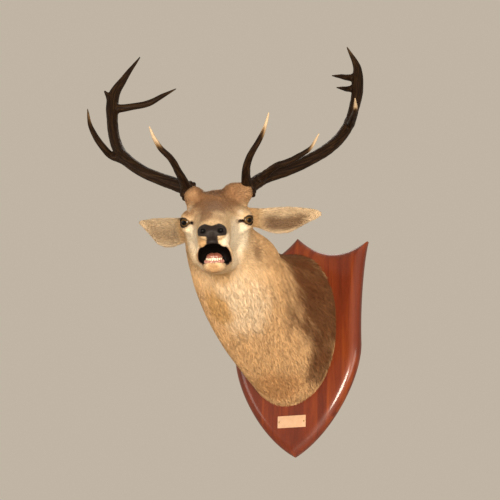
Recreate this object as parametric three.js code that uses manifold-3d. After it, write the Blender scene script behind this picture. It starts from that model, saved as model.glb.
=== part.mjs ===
// Red deer stag shoulder mount on its wooden shield, life size, hung on a wall.
// Millimetres. X to the right as one faces the shield, Y into the wall, Z up; the origin is on the back
// of the shield. The neck comes forward along -Y and the head looks down and to the right.
import * as THREE from "three";
import { mergeVertices } from "three/addons/utils/BufferGeometryUtils.js";
import Module from "manifold-3d";

const wasm = await Module();
wasm.setup();

// ---------------------------------------------------------------- driving dimensions
const GAP = 0.3; // clearance left between neighbouring bodies
const SHIELD_TOP = 331.5; // centre peak above the origin
const SHIELD_TIP = -308.5; // bottom point
const SHIELD_THICK = 28;
const SHIELD_CORNER = 219; // half width at the two upper corners
const SHIELD_WAIST = 195; // half width where the straight sides end
const MOULDING_WIDE = 27;
const PLATE_WIDE = 85;
const PLATE_HIGH = 33;
const PLATE_THICK = 1.6;
const PLATE_CENTRE_Z = -214;

const EYE_MIDDLE = new THREE.Vector3(0, -494.6, 209.2); // point midway between the two eyes
const HEAD_TURN = 27.5; // degrees toward +X
const HEAD_DIP = 27; // degrees the nose points below level
const HEAD_LEAN = 4; // degrees of lean about the nose axis
const EYE_RADIUS = 17;
const EYE_CENTRE = [2, 73, 1];
const EYE_OUTWARD = 44; // degrees the eye looks away from straight ahead

const rad = THREE.MathUtils.degToRad;
const V = (x, y, z) => new THREE.Vector3(x, y, z);

// ---------------------------------------------------------------- head frame
// f runs to the nose, s to the stag's left, t up
const axisF = V(
  Math.sin(rad(HEAD_TURN)) * Math.cos(rad(HEAD_DIP)),
  -Math.cos(rad(HEAD_TURN)) * Math.cos(rad(HEAD_DIP)),
  -Math.sin(rad(HEAD_DIP)),
);
const level = V(Math.cos(rad(HEAD_TURN)), Math.sin(rad(HEAD_TURN)), 0);
const upright = axisF.clone().cross(level);
const axisS = level
  .clone()
  .multiplyScalar(Math.cos(rad(HEAD_LEAN)))
  .addScaledVector(upright, Math.sin(rad(HEAD_LEAN)));
const axisT = upright
  .clone()
  .multiplyScalar(Math.cos(rad(HEAD_LEAN)))
  .addScaledVector(level, -Math.sin(rad(HEAD_LEAN)));

const fromHead = (f, s, t) =>
  EYE_MIDDLE.clone()
    .addScaledVector(axisF, f)
    .addScaledVector(axisS, s)
    .addScaledVector(axisT, t);

const toHead = (p) => {
  const d = p.clone().sub(EYE_MIDDLE);
  return [d.dot(axisF), d.dot(axisS), d.dot(axisT)];
};

// ---------------------------------------------------------------- tables of sections and their fields
// A smooth curve through a column of a table whose first column ascends.
function column(rows, k) {
  const x = rows.map((r) => r[0]);
  const y = rows.map((r) => r[k]);
  const slope = x.slice(1).map((v, i) => (y[i + 1] - y[i]) / (v - x[i]));
  const tangent = x.map((_, i) => {
    if (i === 0) return slope[0];
    if (i === x.length - 1) return slope[i - 1];
    const a = slope[i - 1];
    const b = slope[i];
    return a * b <= 0 ? 0 : (2 * a * b) / (a + b);
  });
  return (q) => {
    if (q <= x[0]) return y[0];
    if (q >= x[x.length - 1]) return y[x.length - 1];
    let i = 0;
    while (q > x[i + 1]) i++;
    const h = x[i + 1] - x[i];
    const u = (q - x[i]) / h;
    const u2 = u * u;
    const u3 = u2 * u;
    return (
      y[i] * (2 * u3 - 3 * u2 + 1) +
      tangent[i] * h * (u3 - 2 * u2 + u) +
      y[i + 1] * (3 * u2 - 2 * u3) +
      tangent[i + 1] * h * (u3 - u2)
    );
  };
}

// Signed distance, near enough, from an oval section with its widest line at height mid.
function oval(across, up, half, top, mid, bottom, power) {
  const high = up > mid ? top - mid : mid - bottom;
  const rho = Math.pow(
    Math.pow(Math.abs(across) / half, power) +
      Math.pow(Math.abs(up - mid) / high, power),
    1 / power,
  );
  const reach = Math.hypot(across, up - mid);
  return rho < 1e-4 ? -Math.min(half, high) : reach * (1 - 1 / rho);
}

function sections(rows, power) {
  const cols = [1, 2, 3, 4].map((k) => column(rows, k));
  const first = rows[0][0];
  const last = rows[rows.length - 1][0];
  return (along, across, up) => {
    const [half, top, mid, bottom] = cols.map((c) => c(along));
    const d = oval(across, up, half, top, mid, bottom, power);
    return Math.max(d, first - along, along - last);
  };
}

// Upper head: distance forward of the eyes, half width, top, height of the widest line, bottom.
const UPPER = [
  [-190, 44, 62, 15, -40],
  [-165, 64, 73, 12, -80],
  [-135, 76, 74, 8, -105],
  [-105, 81, 73, 6, -116],
  [-75, 82, 68, 4, -114],
  [-45, 80, 61, 0, -108],
  [-15, 75, 55, -4, -101],
  [15, 68, 51, -10, -95],
  [45, 58, 48, -16, -89],
  [75, 51, 46, -22, -84],
  [105, 47, 44, -26, -79],
  [130, 45, 42, -28, -75],
  [150, 43, 40, -28, -71],
  [170, 42, 36, -24, -62],
  [190, 40, 32, -18, -50],
  [210, 38, 27, -10, -38],
  [228, 34, 19, -6, -29],
  [241, 30, 12, -5, -23],
  [249, 22, 6, -5, -16],
  [253, 8, -1, -5, -9],
];
// Lower jaw, same columns.
const JAW = [
  [-95, 40, -70, -100, -122],
  [-76, 54, -60, -96, -134],
  [-50, 60, -58, -98, -140],
  [0, 54, -60, -100, -136],
  [50, 44, -66, -99, -129],
  [100, 33, -74, -98, -121],
  [140, 28, -82, -97, -114],
  [170, 26.5, -86, -95, -108],
  [190, 26, -83, -90, -103],
  [203, 24, -77, -85, -98],
  [213, 18, -73, -80, -90],
  [218, 8, -74, -79, -83],
];
// Neck: distance out from the wall, half width, top, widest height, bottom, sideways centre.
const NECK = [
  [15, 145, 282, 48, -173, -13],
  [40, 145, 276, 48, -165, -16],
  [70, 139, 267, 50, -150, -23],
  [130, 127, 256, 60, -119, -37],
  [200, 119, 253, 82, -76, -49],
  [270, 118, 263, 112, -26, -50],
  [340, 109, 275, 146, 25, -49],
  [400, 98, 287, 180, 78, -46],
  [450, 82, 296, 212, 130, -41],
  [490, 58, 290, 228, 170, -34],
];

const upperField = sections(UPPER, 2.25);
const jawField = sections(JAW, 2.2);
const neckSections = sections(NECK, 2.15);
const neckDrift = column(NECK, 5);
const neckField = (p) =>
  neckSections(-p.y, p.x - neckDrift(-p.y), p.z);

function ellipsoid(h, centre, radii) {
  const q = h.map((v, i) => v - centre[i]);
  const a = Math.hypot(...q.map((v, i) => v / radii[i]));
  const b = Math.hypot(...q.map((v, i) => v / (radii[i] * radii[i])));
  return b < 1e-9 ? -Math.min(...radii) : (a * (a - 1)) / b;
}

function blend(a, b, k) {
  const h = Math.max(k - Math.abs(a - b), 0) / k;
  return Math.min(a, b) - (h * h * k) / 4;
}

// Forms laid on the upper head, given for the stag's left and mirrored: centre, radii, softness of the join.
const FORMS = [
  [[-8, 68, 14], [38, 26, 20], 20], // brow over the eye
  [[-6, 68, -16], [36, 23, 15], 18], // rim below the eye
  [[-42, 68, -10], [42, 20, 26], 20], // cheekbone behind the eye
  [[-42, 56, -66], [50, 25, 52], 20], // jaw muscle
  [[-86, 58, 54], [32, 27, 31], 22], // base of the antler
  [[226, 21, 0], [21, 13, 13], 7], // nostril wing
  [[204, 24, -30], [30, 14, 13], 10], // upper lip
];

const TUFT = [[-86, 34, 72], [30, 24, 23], 18]; // hair standing between the antlers, on the left only

function upperHead(h) {
  const m = [h[0], Math.abs(h[1]), h[2]];
  let d = upperField(m[0], m[1], m[2]);
  d = blend(d, ellipsoid(h, TUFT[0], TUFT[1]), TUFT[2]);
  for (const [centre, radii, soft] of FORMS)
    d = blend(d, ellipsoid(m, centre, radii), soft);
  return d;
}

function wholeHead(p) {
  const h = toHead(p);
  const both = blend(upperHead(h), jawField(...h), 12);
  return blend(both, neckField(p), 22);
}

const upperOnly = (p) => upperHead(toHead(p));
const jawOnly = (p) => jawField(...toHead(p));

// ---------------------------------------------------------------- solids
function solid(geometry) {
  const g = geometry.clone();
  g.deleteAttribute("normal");
  g.deleteAttribute("uv");
  const m = mergeVertices(g, 1e-4);
  const body = new wasm.Manifold(
    new wasm.Mesh({
      numProp: 3,
      vertProperties: new Float32Array(m.attributes.position.array),
      triVerts: new Uint32Array(m.index.array),
    }),
  );
  if (body.volume() < 0) throw new Error("inside out");
  return body;
}

// Closed body through rings of points. Every ring has the same count, and the ends close on their middles.
function ringSolid(rings) {
  const n = rings[0].length;
  const pts = rings.flat();
  const idx = [];
  for (let i = 0; i + 1 < rings.length; i++)
    for (let j = 0; j < n; j++) {
      const k = (j + 1) % n;
      const a = i * n + j;
      const b = i * n + k;
      const c = a + n;
      const d = b + n;
      if (pts[a].distanceTo(pts[d]) < pts[b].distanceTo(pts[c]))
        idx.push(a, b, d, a, d, c);
      else idx.push(a, b, c, b, d, c);
    }
  for (const [ring, base, flip] of [
    [rings[0], 0, true],
    [rings[rings.length - 1], (rings.length - 1) * n, false],
  ]) {
    const middle = ring
      .reduce((m, p) => m.add(p), V(0, 0, 0))
      .divideScalar(n);
    pts.push(middle);
    for (let j = 0; j < n; j++) {
      const k = (j + 1) % n;
      if (flip) idx.push(base + k, base + j, pts.length - 1);
      else idx.push(base + j, base + k, pts.length - 1);
    }
  }
  const make = (order) => {
    const g = new THREE.BufferGeometry();
    g.setAttribute(
      "position",
      new THREE.Float32BufferAttribute(
        pts.flatMap((p) => [p.x, p.y, p.z]),
        3,
      ),
    );
    g.setIndex(order);
    return g;
  };
  let volume = 0;
  for (let i = 0; i < idx.length; i += 3)
    volume += pts[idx[i]].dot(pts[idx[i + 1]].clone().cross(pts[idx[i + 2]]));
  if (volume < 0)
    for (let i = 0; i < idx.length; i += 3)
      [idx[i + 1], idx[i + 2]] = [idx[i + 2], idx[i + 1]];
  return solid(make(idx));
}

// First place along a ray from inside the field where the field rises past the level.
function reach(field, from, dir, level) {
  const step = 4;
  const at = (r) => field(from.clone().addScaledVector(dir, r)) - level;
  let r = 0.5;
  while (at(r + step) < 0 && r < 400) r += step;
  let lo = r;
  let hi = r + step;
  for (let i = 0; i < 14; i++) {
    const mid = (lo + hi) / 2;
    if (at(mid) < 0) lo = mid;
    else hi = mid;
  }
  return (lo + hi) / 2;
}

// Rings cast from stations: each has a centre, the two axes of its plane, and its own field.
function castSolid(stations, around, level = 0) {
  return ringSolid(
    stations.map(({ centre, right, up, field }) =>
      Array.from({ length: around }, (_, j) => {
        const a = (2 * Math.PI * (j + 0.5)) / around;
        const dir = right
          .clone()
          .multiplyScalar(Math.sin(a))
          .addScaledVector(up, Math.cos(a));
        const r = reach(field, centre, dir, level);
        return centre.clone().addScaledVector(dir, r);
      }),
    ),
  );
}

// ---------------------------------------------------------------- head
const JAW_SPLIT = 92; // the jaw is its own body forward of this
const MUZZLE_FROM = 94; // and so is the muzzle, with the palate in it
const CUT_ANGLE = 28; // tilt of the cut between head and neck
const CUT_CENTRE = [-110, 0, -55];
const HEAD_AROUND = 30;

function headStation(f, t, tilt, field, shift = 0) {
  const c = Math.cos(rad(tilt));
  const s = Math.sin(rad(tilt));
  return {
    centre: fromHead(f + shift * c, 0, t + shift * s),
    right: axisS.clone(),
    up: axisT.clone().multiplyScalar(c).addScaledVector(axisF, -s),
    field,
  };
}

const FAN = [0, 0.16, 0.31, 0.45, 0.58, 0.7, 0.81, 0.91, 1];
const fanOut = FAN.map((u) =>
  headStation(
    CUT_CENTRE[0] + 100 * u,
    CUT_CENTRE[2] + 33 * u,
    CUT_ANGLE * (1 - u),
    wholeHead,
  ),
);
const BEHIND = [2, 15, 32, 60, JAW_SPLIT - 0.1];
const AHEAD = [JAW_SPLIT, 120, 147, 172, 194, 212, 227, 238, 245.5, 251];
const spineT = (f) => -22 + 0.085 * Math.max(f - 20, 0);
const headStations = [
  ...fanOut,
  ...BEHIND.map((f) => headStation(f, spineT(f), 0, wholeHead)),
  ...AHEAD.map((f) => headStation(f, spineT(f), 0, upperOnly)),
];
const headWhole = castSolid(headStations, HEAD_AROUND);
const headGrown = castSolid(headStations, HEAD_AROUND, GAP);

// ---------------------------------------------------------------- mouth, jaw
const JAW_FROM = JAW_SPLIT + GAP;
const jawMiddle = column(JAW, 3);
const JAW_STATIONS = [JAW_FROM, 122, 150, 175, 193, 206, 215];
const jawWhole = castSolid(
  JAW_STATIONS.map((f) => headStation(f, jawMiddle(f), 0, jawOnly)),
  16,
);
const jawGrown = castSolid(
  JAW_STATIONS.map((f) => headStation(f, jawMiddle(f), 0, jawOnly)),
  16,
  GAP,
);

// Hollow of the mouth under the palate, and the trough between the lower lips, as sections along the head.
const PALATE = [
  [108, 10, -60, -68, -76],
  [122, 28, -50, -68, -96],
  [145, 38, -42, -68, -108],
  [165, 38, -34, -64, -108],
  [185, 36, -26, -58, -100],
  [203, 33, -20, -54, -90],
  [216, 27, -18, -48, -76],
  [226, 18, -20, -42, -60],
  [231, 6, -28, -40, -50],
];
const TROUGH = [
  [94, 8, -66, -80, -90],
  [108, 21, -60, -80, -98],
  [130, 23, -60, -82, -99],
  [155, 22, -62, -82, -99],
  [180, 18, -64, -78, -92],
  [198, 13, -64, -73, -85],
  [206, 5, -68, -71, -77],
];
function hollow(rows, places, around) {
  const field = sections(rows, 2.3);
  const middle = column(rows, 3);
  return castSolid(
    places.map((f) =>
      headStation(f, middle(f), 0, (p) => field(...toHead(p))),
    ),
    around,
  );
}
const palate = hollow(PALATE, [109, 120, 142, 166, 188, 206, 219, 229], 16);
const trough = hollow(TROUGH, [95, 108, 132, 158, 182, 198, 205.5], 12);

const lipGrown = headGrown.subtract(palate);
const jaw = jawWhole.subtract(lipGrown).subtract(trough);

// ---------------------------------------------------------------- eyes, nose pad
function ball(centre, radii, wide, high, turn = 0) {
  const g = new THREE.SphereGeometry(1, wide, high);
  g.scale(...radii);
  g.rotateZ(rad(turn));
  g.applyMatrix4(new THREE.Matrix4().makeBasis(axisF, axisS, axisT));
  g.translate(...fromHead(...centre).toArray());
  return solid(g);
}
const [eyeF, eyeS, eyeT] = EYE_CENTRE;
const eyeball = (side, grow) =>
  ball([eyeF, side * eyeS, eyeT], Array(3).fill(EYE_RADIUS + grow), 12, 9);
const lidOpening = (side) =>
  ball(
    [
      eyeF + 15 * Math.cos(rad(EYE_OUTWARD)),
      side * (eyeS + 15 * Math.sin(rad(EYE_OUTWARD))),
      eyeT,
    ],
    [18, 21.5, 15],
    10,
    7,
    side * EYE_OUTWARD,
  );

// The bare pad: a T of wet skin, nostrils across the top and a strip down to the lip.
function padCutter(grow) {
  const outline = new THREE.Shape();
  const g = grow;
  outline.moveTo(-60, 12 + g);
  outline.lineTo(-22, 16 + g);
  outline.lineTo(-8, 13 + g);
  outline.lineTo(8, 13 + g);
  outline.lineTo(22, 16 + g);
  outline.lineTo(60, 12 + g);
  outline.lineTo(60, -8 - g);
  outline.lineTo(14 + g, -15 - g);
  outline.lineTo(13 + g, -45);
  outline.lineTo(-13 - g, -45);
  outline.lineTo(-14 - g, -15 - g);
  outline.lineTo(-60, -8 - g);
  outline.closePath();
  const geometry = new THREE.ExtrudeGeometry(outline, {
    depth: 60,
    bevelEnabled: false,
  });
  const place = new THREE.Matrix4()
    .makeBasis(axisS, axisT, axisF)
    .setPosition(fromHead(226 - g, 0, 0));
  geometry.applyMatrix4(place);
  return solid(geometry);
}
const nostril = (side) =>
  ball([247, side * 21, 1], [14, 6.5, 7], 6, 5);
const nosePad = headWhole
  .intersect(padCutter(0))
  .subtract(nostril(1))
  .subtract(nostril(-1));

// ---------------------------------------------------------------- neck
const neckFan = [0.28, 0.52, 0.76, 1];
const cutPoint = fromHead(...CUT_CENTRE);
const cutUp = headStation(0, 0, CUT_ANGLE, wholeHead).up;
const NECK_OUT = [24, 50, 84, 130, 182, 240];
const neckMid = column(NECK, 3);
const neckStations = NECK_OUT.map((y) => ({
  centre: V(neckDrift(y), -y, neckMid(y)),
  right: V(1, 0, 0),
  up: V(0, 0, 1),
  field: wholeHead,
}));
const lastNeck = neckStations[neckStations.length - 1];
const cutNormal = axisS.clone().cross(cutUp);
const forward = cutNormal.dot(axisF) > 0 ? cutNormal : cutNormal.negate();
for (const u of neckFan) {
  const centre = lastNeck.centre
    .clone()
    .lerp(cutPoint.clone().addScaledVector(forward, -GAP), u);
  neckStations.push({
    centre,
    right: lastNeck.right.clone().lerp(axisS, u).normalize(),
    up: lastNeck.up.clone().lerp(cutUp, u).normalize(),
    field: wholeHead,
  });
}
const neck = castSolid(neckStations, HEAD_AROUND);
const neckGrown = castSolid(neckStations, HEAD_AROUND, GAP);

// ---------------------------------------------------------------- ears
// Stations from the root to the tip: centre in the head frame, half width, depth of the cup, and how far
// it has opened.
function ear(spec) {
  const around = 8;
  const curve = new THREE.CatmullRomCurve3(spec.map((r) => V(...r.at)));
  const open = new THREE.Vector3();
  return ringSolid(
    spec.map((row, i) => {
      const along = curve.getTangent(i / (spec.length - 1));
      const wide = V(...row.wide).addScaledVector(along, -along.dot(V(...row.wide)));
      wide.normalize();
      open.crossVectors(along, wide).normalize();
      if (open.dot(V(...row.faces)) < 0) open.negate();
      const ring = [];
      const at = (a, b) => {
        const h = V(...row.at).addScaledVector(wide, a).addScaledVector(open, b);
        return fromHead(h.x, h.y, h.z);
      };
      const w = row.half;
      const d = row.deep;
      for (let j = 0; j <= around; j++) {
        const a = (Math.PI * j) / around;
        ring.push(at(w * Math.cos(a), -d * Math.sin(a)));
      }
      const inner = THREE.MathUtils.lerp(-0.8 * d, d - row.thick, row.open);
      for (let j = around - 1; j >= 1; j--) {
        const a = (Math.PI * j) / around;
        ring.push(at((w - row.thick * 0.45) * Math.cos(a), -inner * Math.sin(a)));
      }
      return ring;
    }),
  );
}
const LEFT_EAR = [
  { at: [-108, 58, 2], half: 22, deep: 20, open: 0, thick: 12 },
  { at: [-112, 84, -2], half: 24, deep: 20, open: 0, thick: 12 },
  { at: [-117, 130, -12], half: 31, deep: 23, open: 0.7, thick: 12 },
  { at: [-121, 155, -15], half: 34, deep: 24, open: 1, thick: 11 },
  { at: [-126, 180, -15], half: 34, deep: 22, open: 1, thick: 10 },
  { at: [-131, 203, -12], half: 29, deep: 18, open: 1, thick: 9 },
  { at: [-136, 225, -8], half: 22, deep: 13, open: 1, thick: 8 },
  { at: [-140, 246, -5], half: 17, deep: 9, open: 1, thick: 7 },
  { at: [-143, 262, -4], half: 12, deep: 6, open: 1, thick: 5 },
  { at: [-145, 272, -4], half: 5, deep: 3.5, open: 1, thick: 3 },
].map((r) => ({ ...r, wide: [0.1, 0.12, 1], faces: [0.8, 0.2, -0.5] }));
const RIGHT_EAR = [
  { at: [-100, -60, -20], half: 27, deep: 20, open: 0, thick: 12 },
  { at: [-124, -103, -33], half: 35, deep: 22, open: 0.3, thick: 12 },
  { at: [-138, -120, -37], half: 38, deep: 24, open: 0.75, thick: 12 },
  { at: [-152, -137, -40], half: 40, deep: 24, open: 1, thick: 11 },
  { at: [-167, -155, -41], half: 40, deep: 21, open: 1, thick: 10 },
  { at: [-180, -172, -38], half: 36, deep: 17, open: 1, thick: 9 },
  { at: [-193, -187, -31], half: 27, deep: 13, open: 1, thick: 8 },
  { at: [-206, -202, -24], half: 18, deep: 9, open: 1, thick: 6 },
  { at: [-218, -216, -18], half: 10, deep: 5, open: 1, thick: 4 },
  { at: [-224, -223, -16], half: 4, deep: 3, open: 1, thick: 2.5 },
].map((r) => ({ ...r, wide: [0.1, -0.25, 1], faces: [0.75, -0.6, -0.2] }));

// ---------------------------------------------------------------- antlers
// A tapering horn along points of the head frame, with a radius at each point.
function horn(points, around, steps, grow = 0) {
  const curve = new THREE.CatmullRomCurve3(
    points.map(([f, s, t]) => fromHead(f, s, t)),
    false,
    "centripetal",
  );
  const radius = points.map((p) => p[3]);
  const frames = curve.computeFrenetFrames(steps, false);
  const rings = [];
  for (let i = 0; i <= steps; i++) {
    const u = i / steps;
    const w = u * (radius.length - 1);
    const k = Math.min(Math.floor(w), radius.length - 2);
    const r = THREE.MathUtils.lerp(radius[k], radius[k + 1], w - k) + grow;
    const c = curve.getPoint(u);
    rings.push(
      Array.from({ length: around }, (_, j) => {
        const a = (2 * Math.PI * j) / around;
        return c
          .clone()
          .addScaledVector(frames.normals[i], r * Math.cos(a))
          .addScaledVector(frames.binormals[i], r * Math.sin(a));
      }),
    );
  }
  return ringSolid(rings);
}

// The coronet: a rough collar where the antler leaves the skull.
function coronet([f, s, t], toward, radius) {
  const profile = [
    [0, -7],
    [radius * 0.8, -7],
    [radius, 0],
    [radius * 0.8, 8],
    [0, 8],
  ].map(([x, y]) => new THREE.Vector2(x, y));
  const g = new THREE.LatheGeometry(profile, 12);
  const base = fromHead(f, s, t);
  const dir = fromHead(...toward).sub(base).normalize();
  g.applyQuaternion(new THREE.Quaternion().setFromUnitVectors(V(0, 1, 0), dir));
  g.translate(base.x, base.y, base.z);
  return solid(g);
}

// Right antler (stag's right): centre and radius along each branch.
const R_BEAM = [
  [-72, -62, 60, 19],
  [-84, -72, 74, 18.5],
  [-112, -106, 90, 17.5],
  [-144, -151, 106, 16.5],
  [-179, -197, 124, 16],
  [-208, -233, 146, 16.5],
  [-233, -258, 165, 17],
  [-267, -277, 190, 16],
  [-296, -289, 219, 15.5],
  [-336, -298, 267, 15.5],
];
const R_UPPER = [
  [-267, -277, 190, 16],
  [-296, -289, 219, 15.5],
  [-336, -298, 267, 15.5],
  [-362, -300, 300, 18],
  [-379, -298, 332, 17],
  [-406, -266, 387, 9.5],
  [-424, -221, 445, 2],
];
const R_BROW = [
  [-88, -76, 76, 15],
  [-60, -82, 98, 12.5],
  [-19, -91, 127, 9.5],
  [26, -108, 167, 8.2],
  [45, -128, 191, 7],
  [56, -137, 208, 5.5],
  [73, -149, 243, 1.8],
];
const R_TRAY = [
  [-228, -252, 160, 14],
  [-238, -275, 164, 12],
  [-247, -291, 169, 10.5],
  [-223, -311, 195, 9.5],
  [-199, -327, 227, 8],
  [-180, -335, 255, 5.8],
  [-160, -336, 297, 1.8],
];
const R_CROWN = [
  [-362, -296, 300, 13],
  [-356, -270, 300, 11],
  [-355, -244, 303, 9.5],
  [-350, -194, 311, 9],
  [-345, -153, 330, 6.2],
  [-330, -114, 347, 1.8],
];
const R_SNAG = [
  [-376, -300, 326, 11],
  [-372, -310, 336, 8],
  [-368, -319, 349, 3],
];
// Left antler (stag's left).
const L_BEAM = [
  [-76, 70, 60, 19.5],
  [-88, 80, 74, 19],
  [-101, 94, 83, 18],
  [-130, 125, 99, 17],
  [-163, 187, 116, 16.5],
  [-200, 251, 140, 16],
  [-233, 300, 165, 16],
  [-272, 338, 194, 15.5],
  [-306, 367, 231, 15],
  [-340, 384, 272, 14.5],
];
const L_UPPER = [
  [-272, 338, 194, 15.5],
  [-306, 367, 231, 15],
  [-340, 384, 272, 14.5],
  [-373, 398, 320, 16.5],
  [-389, 401, 353, 17],
  [-406, 403, 386, 12],
  [-424, 377, 449, 2],
];
const L_BROW = [
  [-88, 80, 78, 15],
  [-50, 78, 105, 12],
  [-3, 83, 141, 9.5],
  [30, 96, 170, 8.2],
  [46, 111, 193, 7],
  [64, 126, 220, 5.5],
  [78, 142, 266, 1.8],
];
const L_BEZ = [
  [-116, 110, 94, 12],
  [-82, 138, 118, 9.5],
  [-59, 161, 133, 8.5],
  [-49, 185, 141, 8],
  [-37, 214, 155, 7],
  [-22, 243, 174, 5],
  [-4, 265, 209, 1.8],
];
const L_TRAY = [
  [-312, 367, 236, 12],
  [-290, 368, 228, 11],
  [-230, 371, 246, 9.5],
  [-175, 373, 266, 7],
  [-120, 368, 295, 1.8],
];
const L_CROWN_A = [
  [-398, 400, 362, 13],
  [-392, 381, 361, 9.5],
  [-360, 352, 364, 6.5],
  [-330, 325, 366, 1.8],
];
const L_CROWN_B = [
  [-384, 398, 330, 12],
  [-378, 376, 329, 8.5],
  [-340, 355, 330, 5.5],
  [-310, 336, 332, 1.8],
];

const cutBehind = (body, others) => others.reduce((b, o) => b.subtract(o), body);
const grownBeam = (points) => horn(points, 9, 14, GAP);

const rightCollar = coronet([-86, -74, 75], [-144, -151, 106], 28);
const leftCollar = coronet([-91, 83, 76], [-163, 187, 116], 28);
const rightBeamWhole = horn(R_BEAM, 9, 14).add(rightCollar);
const leftBeamWhole = horn(L_BEAM, 9, 14).add(leftCollar);

// A flat cut across a beam: everything past the point, along the given direction, is taken away.
function pastPlane(at, toward) {
  const from = fromHead(...at);
  const n = fromHead(...toward).sub(from).normalize();
  return { n, d: n.dot(from) };
}
const before = (body, { n, d }) => body.trimByPlane([-n.x, -n.y, -n.z], -d);
const after = (body, { n, d }) => body.trimByPlane([n.x, n.y, n.z], d + GAP);

const rightFork = pastPlane([-281, -283, 204], [-296, -289, 219]);
const leftFork = pastPlane([-318, 372, 245], [-340, 384, 272]);

const rightLower = before(rightBeamWhole, rightFork).subtract(headGrown);
const leftLower = before(leftBeamWhole, leftFork).subtract(headGrown);
const rightUpper = after(horn(R_UPPER, 9, 12), rightFork).add(
  horn(R_SNAG, 6, 3),
);
const leftUpper = after(horn(L_UPPER, 9, 12), leftFork);

const rightBlock = [grownBeam(R_BEAM), headGrown];
const leftBlock = [grownBeam(L_BEAM), headGrown];
const rightCollarGrown = coronet([-86, -74, 75], [-144, -151, 106], 28 + GAP);
const leftCollarGrown = coronet([-91, 83, 76], [-163, 187, 116], 28 + GAP);
const upperGrown = (points) => [horn(points, 9, 12, GAP)];
const largest = (body) =>
  body.decompose().reduce((a, b) => (a.volume() > b.volume() ? a : b));

const rightBrow = largest(
  cutBehind(horn(R_BROW, 8, 10), [...rightBlock, rightCollarGrown]),
);
const leftBrow = largest(
  cutBehind(horn(L_BROW, 8, 10), [...leftBlock, leftCollarGrown]),
);
const leftBez = largest(
  cutBehind(horn(L_BEZ, 8, 10), [...leftBlock, leftCollarGrown]),
);
const rightTray = largest(
  cutBehind(horn(R_TRAY, 8, 10), [rightBlock[0], ...upperGrown(R_UPPER)]),
);
const leftTray = largest(
  cutBehind(horn(L_TRAY, 8, 8), [leftBlock[0], ...upperGrown(L_UPPER)]),
);
const rightCrown = largest(
  cutBehind(horn(R_CROWN, 8, 9), upperGrown(R_UPPER)),
);
const leftCrownA = largest(
  cutBehind(horn(L_CROWN_A, 8, 6), upperGrown(L_UPPER)),
);
const leftCrownB = largest(
  cutBehind(horn(L_CROWN_B, 8, 6), upperGrown(L_UPPER)),
);

// ---------------------------------------------------------------- tongue and front teeth
const TONGUE = [
  [100, 10, -74, -80, -86],
  [125, 15, -68, -79, -90],
  [150, 18, -62, -76, -90],
  [172, 19, -57, -70, -86],
  [186, 18, -56, -66, -80],
  [196, 15, -59, -67, -76],
  [202, 6, -64, -68, -72],
];
const tongue = hollow(TONGUE, [112, 130, 150, 168, 184, 195, 201.5], 14);

const TEETH = 8;
function frontTeeth() {
  const arch = Array.from({ length: 7 }, (_, i) => {
    const a = rad(-66 + 22 * i);
    return [192 + 18 * Math.cos(a), 19 * Math.sin(a), -78, 6];
  });
  let body = horn(arch, 6, 7);
  for (let i = 0; i < TEETH; i++) {
    const a = rad(-60 + (120 * i) / (TEETH - 1));
    const tooth = new THREE.BoxGeometry(2.4, 5.4, 15);
    tooth.rotateZ(a);
    tooth.translate(193 + 18.5 * Math.cos(a), 19.5 * Math.sin(a), -69);
    tooth.applyMatrix4(
      new THREE.Matrix4().makeBasis(axisF, axisS, axisT).setPosition(EYE_MIDDLE),
    );
    body = body.add(solid(tooth));
  }
  return body;
}
const mouthGrown = [lipGrown, jawGrown.subtract(trough)];
const teeth = frontTeeth();

// ---------------------------------------------------------------- shield and label plate
function shieldOutline() {
  const half = new THREE.Path();
  half.moveTo(0, SHIELD_TOP);
  half.quadraticCurveTo(106, 224, SHIELD_CORNER, 293);
  half.bezierCurveTo(203, 235, 192, 100, SHIELD_WAIST, 0);
  half.bezierCurveTo(197, -95, 110, -250, 0, SHIELD_TIP);
  const right = half.getPoints(6);
  const left = right
    .slice(1, -1)
    .reverse()
    .map((p) => new THREE.Vector2(-p.x, p.y));
  return [...right, ...left];
}

// The outline moved inward by d, keeping its corners sharp.
function inset(points, d) {
  const n = points.length;
  return points.map((p, i) => {
    const a = points[(i + n - 1) % n];
    const b = points[(i + 1) % n];
    const before = p.clone().sub(a).normalize();
    const beyond = b.clone().sub(p).normalize();
    const m = before.add(beyond).normalize();
    const inward = new THREE.Vector2(m.y, -m.x);
    const lean = Math.abs(inward.x * beyond.y - inward.y * beyond.x);
    return p.clone().addScaledVector(inward, d / lean);
  });
}

// Edge of the shield from the wall forward: how far in, how far out from the wall.
const MOULDING = [
  [0, 0],
  [0, 9],
  [1.5, 15],
  [5.5, 20],
  [12, 24.3],
  [19, 26.9],
  [MOULDING_WIDE, SHIELD_THICK],
];
const shieldEdge = shieldOutline();
const shield = ringSolid(
  MOULDING.map(([d, y]) => inset(shieldEdge, d).map((p) => V(p.x, -y, p.y))),
);

function labelPlate() {
  const plate = new THREE.BoxGeometry(PLATE_WIDE, PLATE_THICK, PLATE_HIGH);
  const y = -SHIELD_THICK - GAP - PLATE_THICK / 2;
  plate.translate(-1, y, PLATE_CENTRE_Z);
  let body = solid(plate);
  for (const side of [-1, 1]) {
    const pin = new THREE.SphereGeometry(2.2, 8, 5);
    pin.translate(-1 + side * (PLATE_WIDE / 2 - 5), y - 0.6, PLATE_CENTRE_Z);
    body = body.add(solid(pin));
  }
  return body.trimByPlane([0, -1, 0], SHIELD_THICK + GAP);
}

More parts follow.
